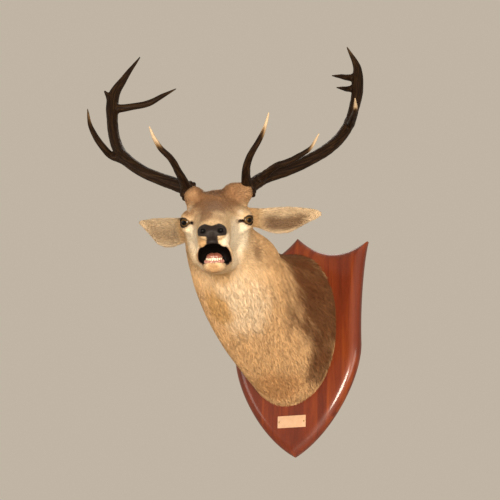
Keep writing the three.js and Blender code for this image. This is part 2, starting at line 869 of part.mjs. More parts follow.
// ---------------------------------------------------------------- the nodes
const skinCutters = [
  palate,
  padCutter(GAP),
  lidOpening(1),
  lidOpening(-1),
  eyeball(1, GAP),
  eyeball(-1, GAP),
];
const upperWhole = skinCutters.reduce((b, c) => b.subtract(c), headWhole);
const muzzlePlane = pastPlane([MUZZLE_FROM, 0, 0], [MUZZLE_FROM + 1, 0, 0]);
const head = before(upperWhole, muzzlePlane);
const muzzle = after(upperWhole, muzzlePlane);
const neckBack = neck.trimByPlane([0, -1, 0], SHIELD_THICK + GAP);

const COLOURS = {
  coat: [0xcbb391, 0.9, 0],
  pad: [0x2b2725, 0.45, 0],
  eye: [0x3a2410, 0.08, 0],
  antler: [0x2e2620, 0.55, 0],
  mouth: [0xb06a5c, 0.5, 0],
  teeth: [0xe4dccb, 0.35, 0],
  wood: [0x5a2413, 0.3, 0],
  plate: [0xd9cda4, 0.4, 0],
};

const group = new THREE.Group();
function node(name, body, kind) {
  const m = body.getMesh();
  const pos = new Float32Array(m.numVert * 3);
  for (let i = 0; i < m.numVert; i++)
    pos.set(m.vertProperties.subarray(i * m.numProp, i * m.numProp + 3), i * 3);
  const g = new THREE.BufferGeometry();
  g.setAttribute("position", new THREE.BufferAttribute(pos, 3));
  g.setIndex(new THREE.BufferAttribute(new Uint32Array(m.triVerts), 1));
  g.computeVertexNormals();
  const [color, roughness, metalness] = COLOURS[kind];
  const mesh = new THREE.Mesh(
    g,
    new THREE.MeshStandardMaterial({ color, roughness, metalness }),
  );
  mesh.name = name;
  group.add(mesh);
}

node("shield", shield, "wood");
node("label_plate", labelPlate(), "plate");
node("neck", neckBack, "coat");
node("head", largest(head), "coat");
node("muzzle", largest(muzzle), "coat");
node("lower_jaw", largest(jaw), "coat");
node("nose_pad", largest(nosePad), "pad");
node("eye_left", eyeball(1, 0), "eye");
node("eye_right", eyeball(-1, 0), "eye");
const coatGrown = [headGrown, neckGrown];
node("ear_left", largest(cutBehind(ear(LEFT_EAR), coatGrown)), "coat");
node("ear_right", largest(cutBehind(ear(RIGHT_EAR), coatGrown)), "coat");
node("tongue", largest(cutBehind(tongue, mouthGrown)), "mouth");
node("front_teeth", largest(cutBehind(teeth, mouthGrown)), "teeth");
node("antler_right_beam", largest(rightLower), "antler");
node("antler_right_top", largest(rightUpper), "antler");
node("antler_right_brow_tine", rightBrow, "antler");
node("antler_right_tray_tine", rightTray, "antler");
node("antler_right_crown_tine", rightCrown, "antler");
node("antler_left_beam", largest(leftLower), "antler");
node("antler_left_top", largest(leftUpper), "antler");
node("antler_left_brow_tine", leftBrow, "antler");
node("antler_left_bez_tine", leftBez, "antler");
node("antler_left_tray_tine", leftTray, "antler");
node("antler_left_crown_tine_upper", leftCrownA, "antler");
node("antler_left_crown_tine_lower", leftCrownB, "antler");

export default group;
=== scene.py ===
"""Red deer stag shoulder mount on its wooden wall shield: hide, coat, antlers, eyes, mouth and shield.

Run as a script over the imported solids. Lengths in the tables are millimetres in the solids' own frame:
X to the right as one faces the shield, Y into the wall, Z up. Objects are made in metres.
"""

from math import cos, pi, radians, sin, tau

import bpy
import numpy as np
import openvdb
from bpy.props import (
    FloatProperty,
    FloatVectorProperty,
    IntProperty,
    PointerProperty,
)
from mathutils import Matrix, Vector


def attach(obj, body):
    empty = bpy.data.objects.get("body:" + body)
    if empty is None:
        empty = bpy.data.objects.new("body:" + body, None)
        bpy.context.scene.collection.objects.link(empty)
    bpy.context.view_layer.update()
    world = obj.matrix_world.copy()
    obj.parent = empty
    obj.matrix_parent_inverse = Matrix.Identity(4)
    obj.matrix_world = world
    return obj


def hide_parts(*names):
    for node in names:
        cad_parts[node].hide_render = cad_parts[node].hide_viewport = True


bl_info = {
    "name": "Stag shoulder mount",
    "version": (1, 0, 0),
    "blender": (4, 5, 0),
    "location": "View3D > Sidebar > Stag mount",
    "description": "Builds a red deer stag shoulder mount over its packed solids",
    "category": "Object",
}

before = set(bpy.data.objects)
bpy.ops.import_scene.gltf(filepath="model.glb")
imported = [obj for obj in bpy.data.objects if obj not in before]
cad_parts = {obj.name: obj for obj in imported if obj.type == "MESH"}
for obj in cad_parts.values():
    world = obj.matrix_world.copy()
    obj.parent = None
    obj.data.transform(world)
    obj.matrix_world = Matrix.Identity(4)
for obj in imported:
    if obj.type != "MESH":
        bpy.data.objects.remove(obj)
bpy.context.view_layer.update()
MM = 0.001
SEED = 417

# ------------------------------------------------------------------ head frame
# f runs to the nose, s to the stag's left, t up; the middle of the eyes is its origin.
EYE_MIDDLE = np.array([0.0, -494.6, 209.2])
HEAD_TURN = radians(27.5)
HEAD_DIP = radians(27)
HEAD_LEAN = radians(4)
AXIS_F = np.array(
    [
        sin(HEAD_TURN) * cos(HEAD_DIP),
        -cos(HEAD_TURN) * cos(HEAD_DIP),
        -sin(HEAD_DIP),
    ]
)
LEVEL = np.array([cos(HEAD_TURN), sin(HEAD_TURN), 0.0])
UPRIGHT = np.cross(AXIS_F, LEVEL)
AXIS_S = LEVEL * cos(HEAD_LEAN) + UPRIGHT * sin(HEAD_LEAN)
AXIS_T = UPRIGHT * cos(HEAD_LEAN) - LEVEL * sin(HEAD_LEAN)
HEAD_AXES = np.column_stack([AXIS_F, AXIS_S, AXIS_T])
EYE_CENTRE = np.array([2.0, 73.0, 1.0])
EYE_OUTWARD = radians(44)
EYE_RADIUS = 16.6


def to_head(points):
    return (points - EYE_MIDDLE) @ HEAD_AXES


def from_head(coords):
    return EYE_MIDDLE + np.asarray(coords, float) @ HEAD_AXES.T


# ------------------------------------------------------------------ tables of sections
# Upper head: distance forward of the eyes, half width, top, height of the widest line, bottom.
UPPER = [
    [-190, 44, 62, 15, -40],
    [-165, 64, 73, 12, -80],
    [-135, 76, 74, 8, -105],
    [-105, 81, 73, 6, -116],
    [-75, 82, 68, 4, -114],
    [-45, 80, 61, 0, -108],
    [-15, 75, 55, -4, -101],
    [15, 68, 51, -10, -95],
    [45, 58, 48, -16, -89],
    [75, 51, 46, -22, -84],
    [105, 47, 44, -26, -79],
    [130, 45, 42, -28, -75],
    [150, 43, 40, -28, -71],
    [170, 42, 36, -24, -62],
    [190, 40, 32, -18, -50],
    [210, 38, 27, -10, -38],
    [228, 34, 19, -6, -29],
    [241, 30, 12, -5, -23],
    [249, 22, 6, -5, -16],
    [253, 8, -1, -5, -9],
]
JAW = [
    [-95, 40, -70, -100, -122],
    [-76, 54, -60, -96, -134],
    [-50, 60, -58, -98, -140],
    [0, 54, -60, -100, -136],
    [50, 44, -66, -99, -129],
    [100, 33, -74, -98, -121],
    [140, 28, -82, -97, -114],
    [170, 26.5, -86, -95, -108],
    [190, 26, -83, -90, -103],
    [203, 24, -77, -85, -98],
    [213, 18, -73, -80, -90],
    [218, 8, -74, -79, -83],
]
# Neck: distance out from the wall, half width, top, widest height, bottom, sideways centre.
NECK = [
    [15, 145, 282, 48, -173, -13],
    [40, 145, 276, 48, -165, -16],
    [70, 139, 267, 50, -150, -23],
    [130, 127, 256, 60, -119, -37],
    [200, 119, 253, 82, -76, -49],
    [270, 118, 263, 112, -26, -50],
    [340, 109, 275, 146, 25, -49],
    [400, 98, 287, 180, 78, -46],
    [450, 82, 296, 212, 130, -41],
    [490, 58, 290, 228, 170, -34],
]
# Hollow under the palate and the trough between the lower lips.
PALATE = [
    [98, 6, -68, -80, -92],
    [108, 27, -58, -80, -101],
    [122, 35.5, -50, -78, -104],
    [145, 38.5, -42, -72, -108],
    [165, 38, -34, -66, -108],
    [185, 36.5, -26, -60, -100],
    [203, 33, -19, -54, -90],
    [216, 27, -17, -48, -76],
    [226, 18, -19, -42, -60],
    [232, 6, -26, -40, -50],
]
TROUGH = [
    [88, 6, -66, -80, -90],
    [108, 21, -60, -80, -98],
    [130, 23, -60, -82, -99],
    [155, 22.5, -62, -82, -99],
    [180, 21, -64, -78, -94],
    [198, 17, -64, -73, -88],
    [209, 9, -68, -71, -80],
]
# Soft forms on the head, for the stag's left and mirrored: centre, radii, softness of the join.
FORMS = [
    ((-12, 67, 13), (38, 26, 19), 24),
    ((-6, 68, -16), (36, 23, 15), 18),
    ((-42, 68, -10), (42, 20, 26), 20),
    ((-42, 56, -66), (50, 25, 52), 20),
    ((-86, 58, 54), (32, 27, 31), 22),
    ((226, 21, 0), (21, 13, 13), 7),
    ((204, 24, -30), (30, 14, 13), 10),
]
POLL_TUFT = ((-86, 40, 71), (32, 24, 21), 26)
# Hair that laps the front of each antler's burr.
BURR_HAIR = [
    ((-68, -61, 65), (24, 22, 20), 20),
    ((-76, 74, 69), (24, 23, 25), 18),
]
# The swelling of the neck behind the stag's left ear, in the row frame.
NECK_SWELL = ((14, -285, 188), (46, 85, 48), 30)
EAR_KEYS = ("f", "s", "t", "half", "deep", "open", "thick")
LEFT_EAR = {
    "rows": [
        (-108, 58, 2, 22, 20, 0, 12),
        (-112, 84, -2, 24, 20, 0, 12),
        (-117, 130, -12, 31, 23, 0.7, 12),
        (-121, 155, -15, 34, 24, 1, 11),
        (-126, 180, -15, 34, 22, 1, 10),
        (-131, 203, -12, 29, 18, 1, 9),
        (-136, 225, -8, 22, 13, 1, 8),
        (-140, 246, -5, 17, 9, 1, 7),
        (-143, 262, -4, 12, 6, 1, 5),
        (-145, 272, -4, 5, 3.5, 1, 3),
    ],
    "wide": (0.1, 0.12, 1),
    "faces": (0.8, 0.2, -0.5),
}
RIGHT_EAR = {
    "rows": [
        (-100, -60, -20, 27, 20, 0, 12),
        (-124, -103, -33, 35, 22, 0.3, 12),
        (-138, -120, -37, 38, 24, 0.75, 12),
        (-152, -137, -40, 40, 24, 1, 11),
        (-167, -155, -41, 40, 21, 1, 10),
        (-180, -172, -38, 36, 17, 1, 9),
        (-193, -187, -31, 27, 13, 1, 8),
        (-206, -202, -24, 18, 9, 1, 6),
        (-218, -216, -18, 10, 5, 1, 4),
        (-224, -223, -16, 4, 3, 1, 2.5),
    ],
    "wide": (0.1, -0.25, 1),
    "faces": (0.75, -0.6, -0.2),
}


def unit(v):
    v = np.asarray(v, np.float64)
    return v / np.maximum(np.linalg.norm(v, axis=-1, keepdims=True), 1e-9)


def smooth(x, low, high):
    u = np.clip((x - low) / (high - low), 0, 1)
    return u * u * (3 - 2 * u)


class Column:
    """A smooth curve through one column of a table, kept as a fine ladder for quick reading."""

    STEP = 0.5

    def __init__(self, x, y):
        x, y = np.asarray(x, float), np.asarray(y, float)
        rise = np.diff(y) / np.diff(x)
        a, b = rise[:-1], rise[1:]
        both = np.where(a + b == 0, 1, a + b)
        tangent = np.r_[rise[0], np.where(a * b > 0, 2 * a * b / both, 0), rise[-1]]
        q = np.arange(x[0], x[-1] + self.STEP, self.STEP)
        i = np.clip(np.searchsorted(x, q, side="right") - 1, 0, len(x) - 2)
        h = x[i + 1] - x[i]
        u = np.clip((q - x[i]) / h, 0, 1)
        self.low, self.count = x[0], len(q)
        self.ladder = (
            y[i] * (2 * u**3 - 3 * u**2 + 1)
            + tangent[i] * h * (u**3 - 2 * u**2 + u)
            + y[i + 1] * (3 * u**2 - 2 * u**3)
            + tangent[i + 1] * h * (u**3 - u**2)
        )

    def __call__(self, q):
        w = np.clip((q - self.low) / self.STEP, 0, self.count - 1.001)
        i = w.astype(np.int32)
        w = w - i
        return self.ladder[i] * (1 - w) + self.ladder[i + 1] * w


def oval(across, up, half, top, mid, bottom, power):
    high = np.where(up > mid, top - mid, mid - bottom)
    rise = up - mid
    rho = (np.abs(across / half) ** power + np.abs(rise / high) ** power) ** (1 / power)
    return np.hypot(across, rise) * (1 - 1 / np.maximum(rho, 1e-3))


def sections(rows, power):
    x = [r[0] for r in rows]
    columns = [Column(x, [r[k] for r in rows]) for k in (1, 2, 3, 4)]

    def field(along, across, up):
        d = oval(across, up, *(c(along) for c in columns), power)
        return np.maximum(d, np.maximum(x[0] - along, along - x[-1]))

    return field


def ellipsoid(h, centre, radii):
    q = h - np.asarray(centre, float)
    a = np.sqrt(((q / radii) ** 2).sum(-1))
    b = np.sqrt(((q / np.square(radii)) ** 2).sum(-1))
    return a * (a - 1) / np.maximum(b, 1e-6)


def blend(a, b, k):
    h = np.maximum(k - np.abs(a - b), 0) / k
    return np.minimum(a, b) - h * h * k / 4


def carve(a, b, k):
    """The body a with b taken away, with a soft rim."""
    return -blend(-a, b, k)


def strand(h, points, radii):
    """Distance to a chain of tapering rods."""
    best = np.full(len(h), 1e3)
    for p, q, r0, r1 in zip(points[:-1], points[1:], radii[:-1], radii[1:]):
        p, q = np.asarray(p, float), np.asarray(q, float)
        axis = q - p
        u = np.clip(((h - p) @ axis) / (axis @ axis), 0, 1)
        gap = np.linalg.norm(h - p - u[:, None] * axis, axis=1)
        best = np.minimum(best, gap - (r0 + (r1 - r0) * u))
    return best


upper_field = sections(UPPER, 2.25)
jaw_field = sections(JAW, 2.2)
neck_sections = sections(NECK, 2.15)
neck_drift = Column([r[0] for r in NECK], [r[5] for r in NECK])
neck_middle = Column([r[0] for r in NECK], [r[3] for r in NECK])
palate_field = sections(PALATE, 2.3)
trough_field = sections(TROUGH, 2.3)


def make_ear(spec):
    """Field of a cupped ear along its own line, and the functions that place a point on it."""
    rows = np.array(spec["rows"], float)
    root, tip = rows[0, :3], rows[-1, :3]
    line = unit(tip - root)
    place = (rows[:, :3] - root) @ line
    cols = {k: Column(place, rows[:, i]) for i, k in enumerate(EAR_KEYS)}
    wide = np.array(spec["wide"], float)
    wide = unit(wide - line * (wide @ line))
    opening = np.cross(line, wide)
    if opening @ np.array(spec["faces"]) < 0:
        opening = -opening
    length = place[-1]

    def local(h):
        q = (h - root) @ line
        at = np.column_stack([cols[k](q) for k in "fst"])
        d = h - at
        return q, d @ wide, d @ opening

    def field(h, inset):
        q, a, b = local(h)
        half = np.maximum(cols["half"](q) - inset, 1.5)
        deep = np.maximum(cols["deep"](q) - inset, 1.2)
        opened = cols["open"](q)
        thick = np.maximum(0.6 * cols["thick"](q), 3.4)
        low = np.minimum(b, 0)
        rho = np.sqrt((a / half) ** 2 + (low / deep) ** 2)
        outer = np.hypot(a, low) * (1 - 1 / np.maximum(rho, 1e-3))
        inner = -0.8 * deep * (1 - opened) + (deep - thick) * opened
        wall = half - 0.45 * thick
        arch = -inner * np.sqrt(np.maximum(1 - (a / wall) ** 2, 0))
        d = np.maximum(outer, (b - arch) * 0.85)
        return np.maximum(d, np.maximum(-8 - q, q - length))

    def inner(h):
        """How far a point is on the hollow side, from 0 to 1."""
        q, a, b = local(h)
        half, deep = cols["half"](q), cols["deep"](q)
        middle = -(deep - 0.3 * cols["thick"](q)) * np.sqrt(np.maximum(1 - (a / half) ** 2, 0))
        return smooth(b - middle, -1, 1) * smooth(cols["open"](q), 0.1, 0.7)

    return {
        "field": field,
        "inner": inner,
        "local": local,
        "line": line,
        "wide": wide,
        "length": length,
    }


EARS = {"left": make_ear(LEFT_EAR), "right": make_ear(RIGHT_EAR)}

# ------------------------------------------------------------------ the hide
UPPER_LIP = [
    (238, 0, -23),
    (230, 17, -26),
    (214, 31, -34),
    (192, 38, -50),
    (166, 40.5, -66),
    (142, 41, -79),
    (122, 39.5, -88),
    (108, 36, -92),
]
LOWER_LIP = [
    (211, 0, -79),
    (203, 16, -81),
    (188, 24, -83.5),
    (160, 27.5, -87),
    (130, 29, -90.5),
    (110, 32, -93),
]
upper_edge = Column(
    [100, 110, 122, 140, 160, 180, 200, 216, 230, 242],
    [-95, -92.5, -89, -81, -70, -58, -45, -34, -27, -24],
)
lower_edge = Column([85, 108, 130, 160, 188, 203, 214], [-91, -92, -90, -87, -83.5, -81, -79])
LIP_WALL = 4.8
UPPER_LIP_RADII = [4.6, 4.6, 4.2, 3.6, 3.4, 3.3, 3.0, 2.4]
LOWER_LIP_RADII = [3.2, 3.2, 3.0, 2.8, 2.6, 2.0]
# The swelling of the chin and the end of the jaw.
CHIN = ((192, 0, -90), (23, 24, 12), 13)
JAW_END = 214
# Each nostril: the hole and the slit that runs out from it, and the bare skin round both.
NOSTRIL = ((248, 21, 2), (15, 7.2, 5.4))
NOSTRIL_SLIT = [(247, 24, 2), (240, 32, 1), (230, 36, -4)], [4.6, 3.4, 1.5]
NOSTRIL_RIM = ((247, 21, 2), (15, 7, 5.8))
NOSTRIL_SLIT_RIM = [(250, 25, 2), (243, 32, 0), (234, 37, -4)], [4.2, 3, 1.4]
# The groove down the middle of the pad, and where the pad begins.
PAD_GROOVE = [(256, 0, 3), (251, 0, -11), (243, 0, -22)], [3.2, 3.2, 3.2]
PAD_BACK = 226
# The bare groove that runs on from the inner corner of the eye.
INNER_CORNER = [(20, 64, 1), (30, 59, 2), (37, 56, 1)]
# The eye's socket: how far out its middle is, and its radii along, up and out.
SOCKET_OUT, SOCKET_RADII = 14, (20, 15, 15)
# The almond between the lids: half length, half height, how its ends close, how it tilts.
SLIT_HALF, SLIT_HIGH, SLIT_CLOSE, SLIT_TILT = 16.5, 9.6, 0.62, 0.06
LID_RADIUS, LID_HALF_THICK = 18.6, 1.7
# The shield's front is at y = -28; hide, locks and roots end a little before it.
HIDE_CUT, HIDE_END, LOCK_END, ROOT_END = -28.6, -28.5, -29.0, -29.5


def eye_space(m):
    """Coordinates about the eye: along the lids towards the nose, upward, outward."""
    q = m - EYE_CENTRE
    c, s = cos(EYE_OUTWARD), sin(EYE_OUTWARD)
    return s * q[:, 0] - c * q[:, 1], q[:, 2], c * q[:, 0] + s * q[:, 1]


def slit_bow(a):
    """How open the lids are at a place along them, from 1 in the middle to 0 at the corners."""
    return np.maximum(1 - (np.abs(a) / SLIT_HALF) ** 2, 0) ** SLIT_CLOSE


def lid_slit(a, b):
    """Below zero inside the almond between the lids, in millimetres."""
    rise = b - SLIT_TILT * a
    bow = slit_bow(a)
    return np.where(rise > 0, rise - SLIT_HIGH * bow, -rise - SLIT_HIGH * bow)


def bare_skin(points):
    """Named distances to the places without hair: pad, mouth, lids, gland, nostrils."""
    h = to_head(points)
    f, s, t = h.T
    a = np.abs(s)
    m = np.column_stack([f, a, t])
    along, up, out = eye_space(m)
    radius = np.sqrt(along**2 + up**2 + out**2)
    lids = np.where(out > 0, np.maximum(lid_slit(along, up) - 3.4, radius - 25), 99.0)
    # the pad: a bar across the nose whose ends spread, and a strip down to the lip
    wings = np.abs(t - 2.5 - 0.10 * (a - 12)) - (10.5 + 0.12 * a)
    pad_bar = np.maximum(np.maximum(wings, a - 33), PAD_BACK - f)
    pad_strip = np.maximum(np.maximum(a - 12 + 0.1 * (t + 12), -t - 31), PAD_BACK - f)
    pad = np.minimum(pad_bar, np.maximum(pad_strip, t - 2))
    # the lining of the mouth, as far down as the lower lip's edge
    on_lip = smooth(f, 168, 186) * (1 - smooth(a, 23, 28)) * smooth(-t, 74, 78)
    mouth = np.where(f > 96, palate_field(f, s, t) + 12 * on_lip, 99.0)
    trough = trough_field(f, s, t) + 7 * smooth(f, 180, 196)
    mouth = np.minimum(mouth, np.where(f > 92, trough, 99.0))
    mouth = np.maximum(mouth, lower_edge(f) - 1.5 - t)
    gland = strand(m, INNER_CORNER, [4.4, 3.4, 1.5])
    nostril = np.minimum(ellipsoid(m, *NOSTRIL_RIM), strand(m, *NOSTRIL_SLIT_RIM))
    return {"lids": lids, "pad": pad, "mouth": mouth, "gland": gland, "nostril": nostril}


def ripple(points, size, seed):
    """Slow smooth unevenness from a few waves, about -1 to 1."""
    rng = np.random.default_rng(seed)
    total = np.zeros(len(points))
    for _ in range(7):
        way = unit(rng.normal(size=3)) * tau / (size * rng.uniform(0.7, 1.5))
        total += np.sin(points @ way + rng.uniform(0, tau))
    return total / 4.5


def coat_depth(f, neck_share):
    """Depth of the coat over the hide: thin on the nose, thicker behind and on the neck."""
    face = 2.0 + 1.6 * smooth(-f, -90, 20) + 2.0 * smooth(-f, 30, 120)
    return face + (7.0 - face) * neck_share


def hide(points):
    """Signed distance to the hide, under the coat, in millimetres."""
    points = np.asarray(points, float)
    h = to_head(points)
    f, s, t = h.T
    a = np.abs(s)
    m = np.column_stack([f, a, t])

    upper = upper_field(f, a, t)
    upper = blend(upper, ellipsoid(h, *POLL_TUFT[:2]), POLL_TUFT[2])
    for centre, radii, soft in BURR_HAIR:
        upper = blend(upper, ellipsoid(h, centre, radii), soft)
    for centre, radii, soft in FORMS:
        upper = blend(upper, ellipsoid(m, centre, radii), soft)
    # folds of the cheek before the eye
    fold = np.exp(-(((f - 30) / 30) ** 2)) * np.sin((t - 0.35 * f) * 0.42)
    upper = upper + 0.5 * fold * smooth(a, 25, 50) * smooth(-t, -6, 20)
    upper = upper + coat_depth(f, 0.0)
    palate = palate_field(f, s, t)
    upper = blend(upper, np.maximum(palate - LIP_WALL, upper_edge(f) - t), 4)
    upper = blend(upper, strand(m, UPPER_LIP, UPPER_LIP_RADII), 5)
    upper = carve(upper, palate - 0.3, 3)

    jaw = blend(jaw_field(f, s, t), ellipsoid(h, *CHIN[:2]), CHIN[2])
    jaw = np.maximum(jaw, f - JAW_END) + coat_depth(f, 0.0)
    trough = trough_field(f, s, t)
    jaw = blend(jaw, np.maximum(trough - LIP_WALL, t - lower_edge(f)), 4)
    jaw = blend(jaw, strand(m, LOWER_LIP, LOWER_LIP_RADII), 4)
    jaw = carve(jaw, np.maximum(trough, -80 - t), 3)
    rim = lower_edge(f) + 9 * (1 - smooth(a, 18, 24)) + 40 * (1 - smooth(f, 98, 108))
    jaw = -blend(-jaw, rim + 2.5 - t, 3)

    join = 12 - 9 * smooth(f, 82, 116)
    head = blend(upper, jaw, join)

    neck = neck_sections(-points[:, 1], points[:, 0] - neck_drift(-points[:, 1]), points[:, 2])
    neck = blend(neck, ellipsoid(points, *NECK_SWELL[:2]), NECK_SWELL[2])
    share = smooth(head - neck, -45, 30)
    head = head + (coat_depth(f, share) - coat_depth(f, 0.0)) * share
    body = blend(head, neck + 7.0, 24)
    body = body + 1.3 * ripple(points, 130, 3) * share

    for ear in EARS.values():
        body = blend(body, ear["field"](h, 1.2), 13)

    # eye socket, lids that lap the ball, and the gland before the eye
    along, up, out = eye_space(m)
    radius = np.sqrt(along**2 + up**2 + out**2)
    socket = ellipsoid(np.column_stack([along, up, out]), (0, 0, SOCKET_OUT), SOCKET_RADII)
    near = out > -4
    body = np.where(near, carve(body, socket, 4), body)
    lids = np.maximum(np.abs(radius - LID_RADIUS) - LID_HALF_THICK, -lid_slit(along, up))
    body = np.where(near, blend(body, np.maximum(lids, -2 - out), 4), body)
    body = carve(body, strand(m, INNER_CORNER, [2.2, 1.3, 0.4]), 4)

    # nostrils with their slits, and the groove of the pad
    body = carve(body, ellipsoid(m, *NOSTRIL), 3)
    body = carve(body, strand(m, *NOSTRIL_SLIT), 3)
    return carve(body, strand(m, *PAD_GROOVE), 6)


def hide_on_shield(points):
    """The hide cut flat where it meets the shield."""
    return np.maximum(hide(points), points[:, 1] - HIDE_CUT)


# Reach of the four readings of a slope, and the least slope that a field is divided by.
SLOPE_STEP, LEAST_SLOPE = 0.6, 0.3


def slope_of(field, points):
    """Outward unit normal of a field, the field itself, and how steep it is."""
    corners = np.array([[1, -1, -1], [-1, -1, 1], [-1, 1, -1], [1, 1, 1]], float)
    values = [field(points + c * SLOPE_STEP) for c in corners]
    slope = sum(v[:, None] * c for v, c in zip(values, corners)) / (4 * SLOPE_STEP)
    return unit(slope), np.mean(values, axis=0), np.linalg.norm(slope, axis=1)


# ------------------------------------------------------------------ surfaces from fields
# A mesh is read in blocks of this many places a side, this many blocks at a time. A block whose
# middle is far from the surface keeps the value FAR; a field is taken to grow by no more than
# STEEPEST per millimetre, with SLACK to spare.
BLOCK, BLOCKS_AT_ONCE = 8, 600
FAR, STEEPEST, SLACK = 9.0, 1.35, 3


def surface(field, ladders):
    """Quads on the zero level of a field over a box whose three axes are ladders of positions.

    Only the blocks that the level can cross are read; the others keep the sign of their middle."""
    sizes = [len(l) for l in ladders]
    counts = [-(-n // BLOCK) for n in sizes]
    grown = [
        np.r_[l, l[-1] + np.arange(1, c * BLOCK - len(l) + 1) * (l[-1] - l[-2])]
        for l, c in zip(ladders, counts)
    ]
    mids = [g.reshape(-1, BLOCK).mean(1) for g in grown]
    reach = [np.ptp(g.reshape(-1, BLOCK), axis=1) / 2 + 1 for g in grown]
    grid = np.stack(np.meshgrid(*mids, indexing="ij"), -1).reshape(-1, 3)
    spans = np.stack(np.meshgrid(*reach, indexing="ij"), -1).reshape(-1, 3)
    middle = field(grid)
    near = np.abs(middle) < STEEPEST * np.linalg.norm(spans, axis=1) + SLACK
    volume = np.where(middle > 0, FAR, -FAR).astype(np.float32)
    volume = np.repeat(volume[:, None], BLOCK**3, axis=1)
    index = np.stack(np.meshgrid(*[np.arange(c) for c in counts], indexing="ij"), -1)
    index = index.reshape(-1, 3)[near]
    cell = np.stack(np.meshgrid(*[np.arange(BLOCK)] * 3, indexing="ij"), -1).reshape(-1, 3)
    rows = np.flatnonzero(near)
    for part in range(0, len(rows), BLOCKS_AT_ONCE):
        at = index[part : part + BLOCKS_AT_ONCE, None, :] * BLOCK + cell[None]
        points = np.stack([grown[k][at[..., k]] for k in range(3)], -1)
        values = field(points.reshape(-1, 3)).astype(np.float32)
        volume[rows[part : part + BLOCKS_AT_ONCE]] = values.reshape(len(at), -1)
    volume = volume.reshape(*counts, BLOCK, BLOCK, BLOCK)
    volume = volume.transpose(0, 3, 1, 4, 2, 5).reshape([c * BLOCK for c in counts])
    grid = openvdb.FloatGrid(FAR)
    grid.copyFromArray(np.ascontiguousarray(volume))
    points, _, quads = grid.convertToPolygons(isovalue=0.0, adaptivity=0.0)
    place = [np.interp(points[:, k], np.arange(len(grown[k])), grown[k]) for k in range(3)]
    return np.column_stack(place), quads.astype(np.int64)


def settle(points, field, limit):
    """Moves points along the field's slope onto its zero level, by no more than the limit."""
    normal, value, size = slope_of(field, points)
    return points - normal * np.clip(value / np.maximum(size, LEAST_SLOPE), -limit, limit)[:, None]


# How much a graded ladder's step grows from one to the next.
STRETCH = 1.06


def graded(low, high, fine_low, fine_high, fine, coarse):
    """Positions from low to high, fine between two places and growing coarser outside them."""
    place = [fine_low]
    step = fine
    while place[-1] > low:
        step = min(step * STRETCH, coarse)
        place.append(place[-1] - step)
    inside = list(np.arange(fine_low + fine, fine_high, fine))
    beyond = [inside[-1]]
    step = fine
    while beyond[-1] < high:
        step = min(step * STRETCH, coarse)
        beyond.append(beyond[-1] + step)
    return np.array(place[::-1] + inside + beyond[1:])


def keep_body(points, quads):
    """The largest connected piece of a mesh."""
    label = np.arange(len(points))
    for _ in range(200):
        low = label[quads].min(1)
        fresh = label.copy()
        for k in range(quads.shape[1]):
            np.minimum.at(fresh, quads[:, k], low)
        fresh = fresh[fresh]
        if np.array_equal(fresh, label):
            break
        label = fresh
    names, sizes = np.unique(label, return_counts=True)
    keep = label == names[sizes.argmax()]
    remap = np.cumsum(keep) - 1
    return points[keep], remap[quads[keep[quads[:, 0]]]]


def mesh_object(name, points, faces, material, colours=None, floats=None, uv=None):
    """A smooth mesh object in metres from millimetre points; faces is a list of same-sided arrays."""
    mesh = bpy.data.meshes.new(name)
    faces = [np.asarray(f, np.int32) for f in faces if len(f)]
    corners = np.concatenate([f.ravel() for f in faces])
    sides = np.concatenate([np.full(len(f), f.shape[1], np.int32) for f in faces])
    mesh.vertices.add(len(points))
    mesh.vertices.foreach_set("co", (np.asarray(points) * MM).astype(np.float32).ravel())
    mesh.loops.add(len(corners))
    mesh.loops.foreach_set("vertex_index", corners)
    mesh.polygons.add(len(sides))
    mesh.polygons.foreach_set("loop_start", np.r_[0, np.cumsum(sides)[:-1]].astype(np.int32))
    mesh.update(calc_edges=True)
    if colours is not None:
        layer = mesh.color_attributes.new("Coat", "FLOAT_COLOR", "POINT")
        rgba = np.c_[colours, np.ones(len(colours))].astype(np.float32)
        layer.data.foreach_set("color", rgba.ravel())
    for key, values in (floats or {}).items():
        layer = mesh.attributes.new(key, "FLOAT", "POINT")
        layer.data.foreach_set("value", np.asarray(values, np.float32))
    if uv is not None:
        layer = mesh.uv_layers.new(name="OFBake")
        layer.uv.foreach_set("vector", np.asarray(uv, np.float32)[corners].ravel())
    mesh.shade_smooth()
    mesh.validate()
    thing = bpy.data.objects.new(name, mesh)
    bpy.context.scene.collection.objects.link(thing)
    mesh.materials.append(material)
    return thing


# ------------------------------------------------------------------ colour
def linear(colour):
    """Linear RGB from an sRGB hex value or from sRGB parts."""
    if isinstance(colour, str):
        colour = [int(colour[i : i + 2], 16) / 255 for i in (1, 3, 5)]
    c = np.asarray(colour, float)[:3]
    return np.where(c <= 0.04045, c / 12.92, ((c + 0.055) / 1.055) ** 2.4)


def rgba(colour):
    return (*(float(c) for c in linear(colour)), 1.0)


# How strongly painted shade darkens the hollow of the left and of the right ear.
EAR_SHADES = (0.8, 0.3)
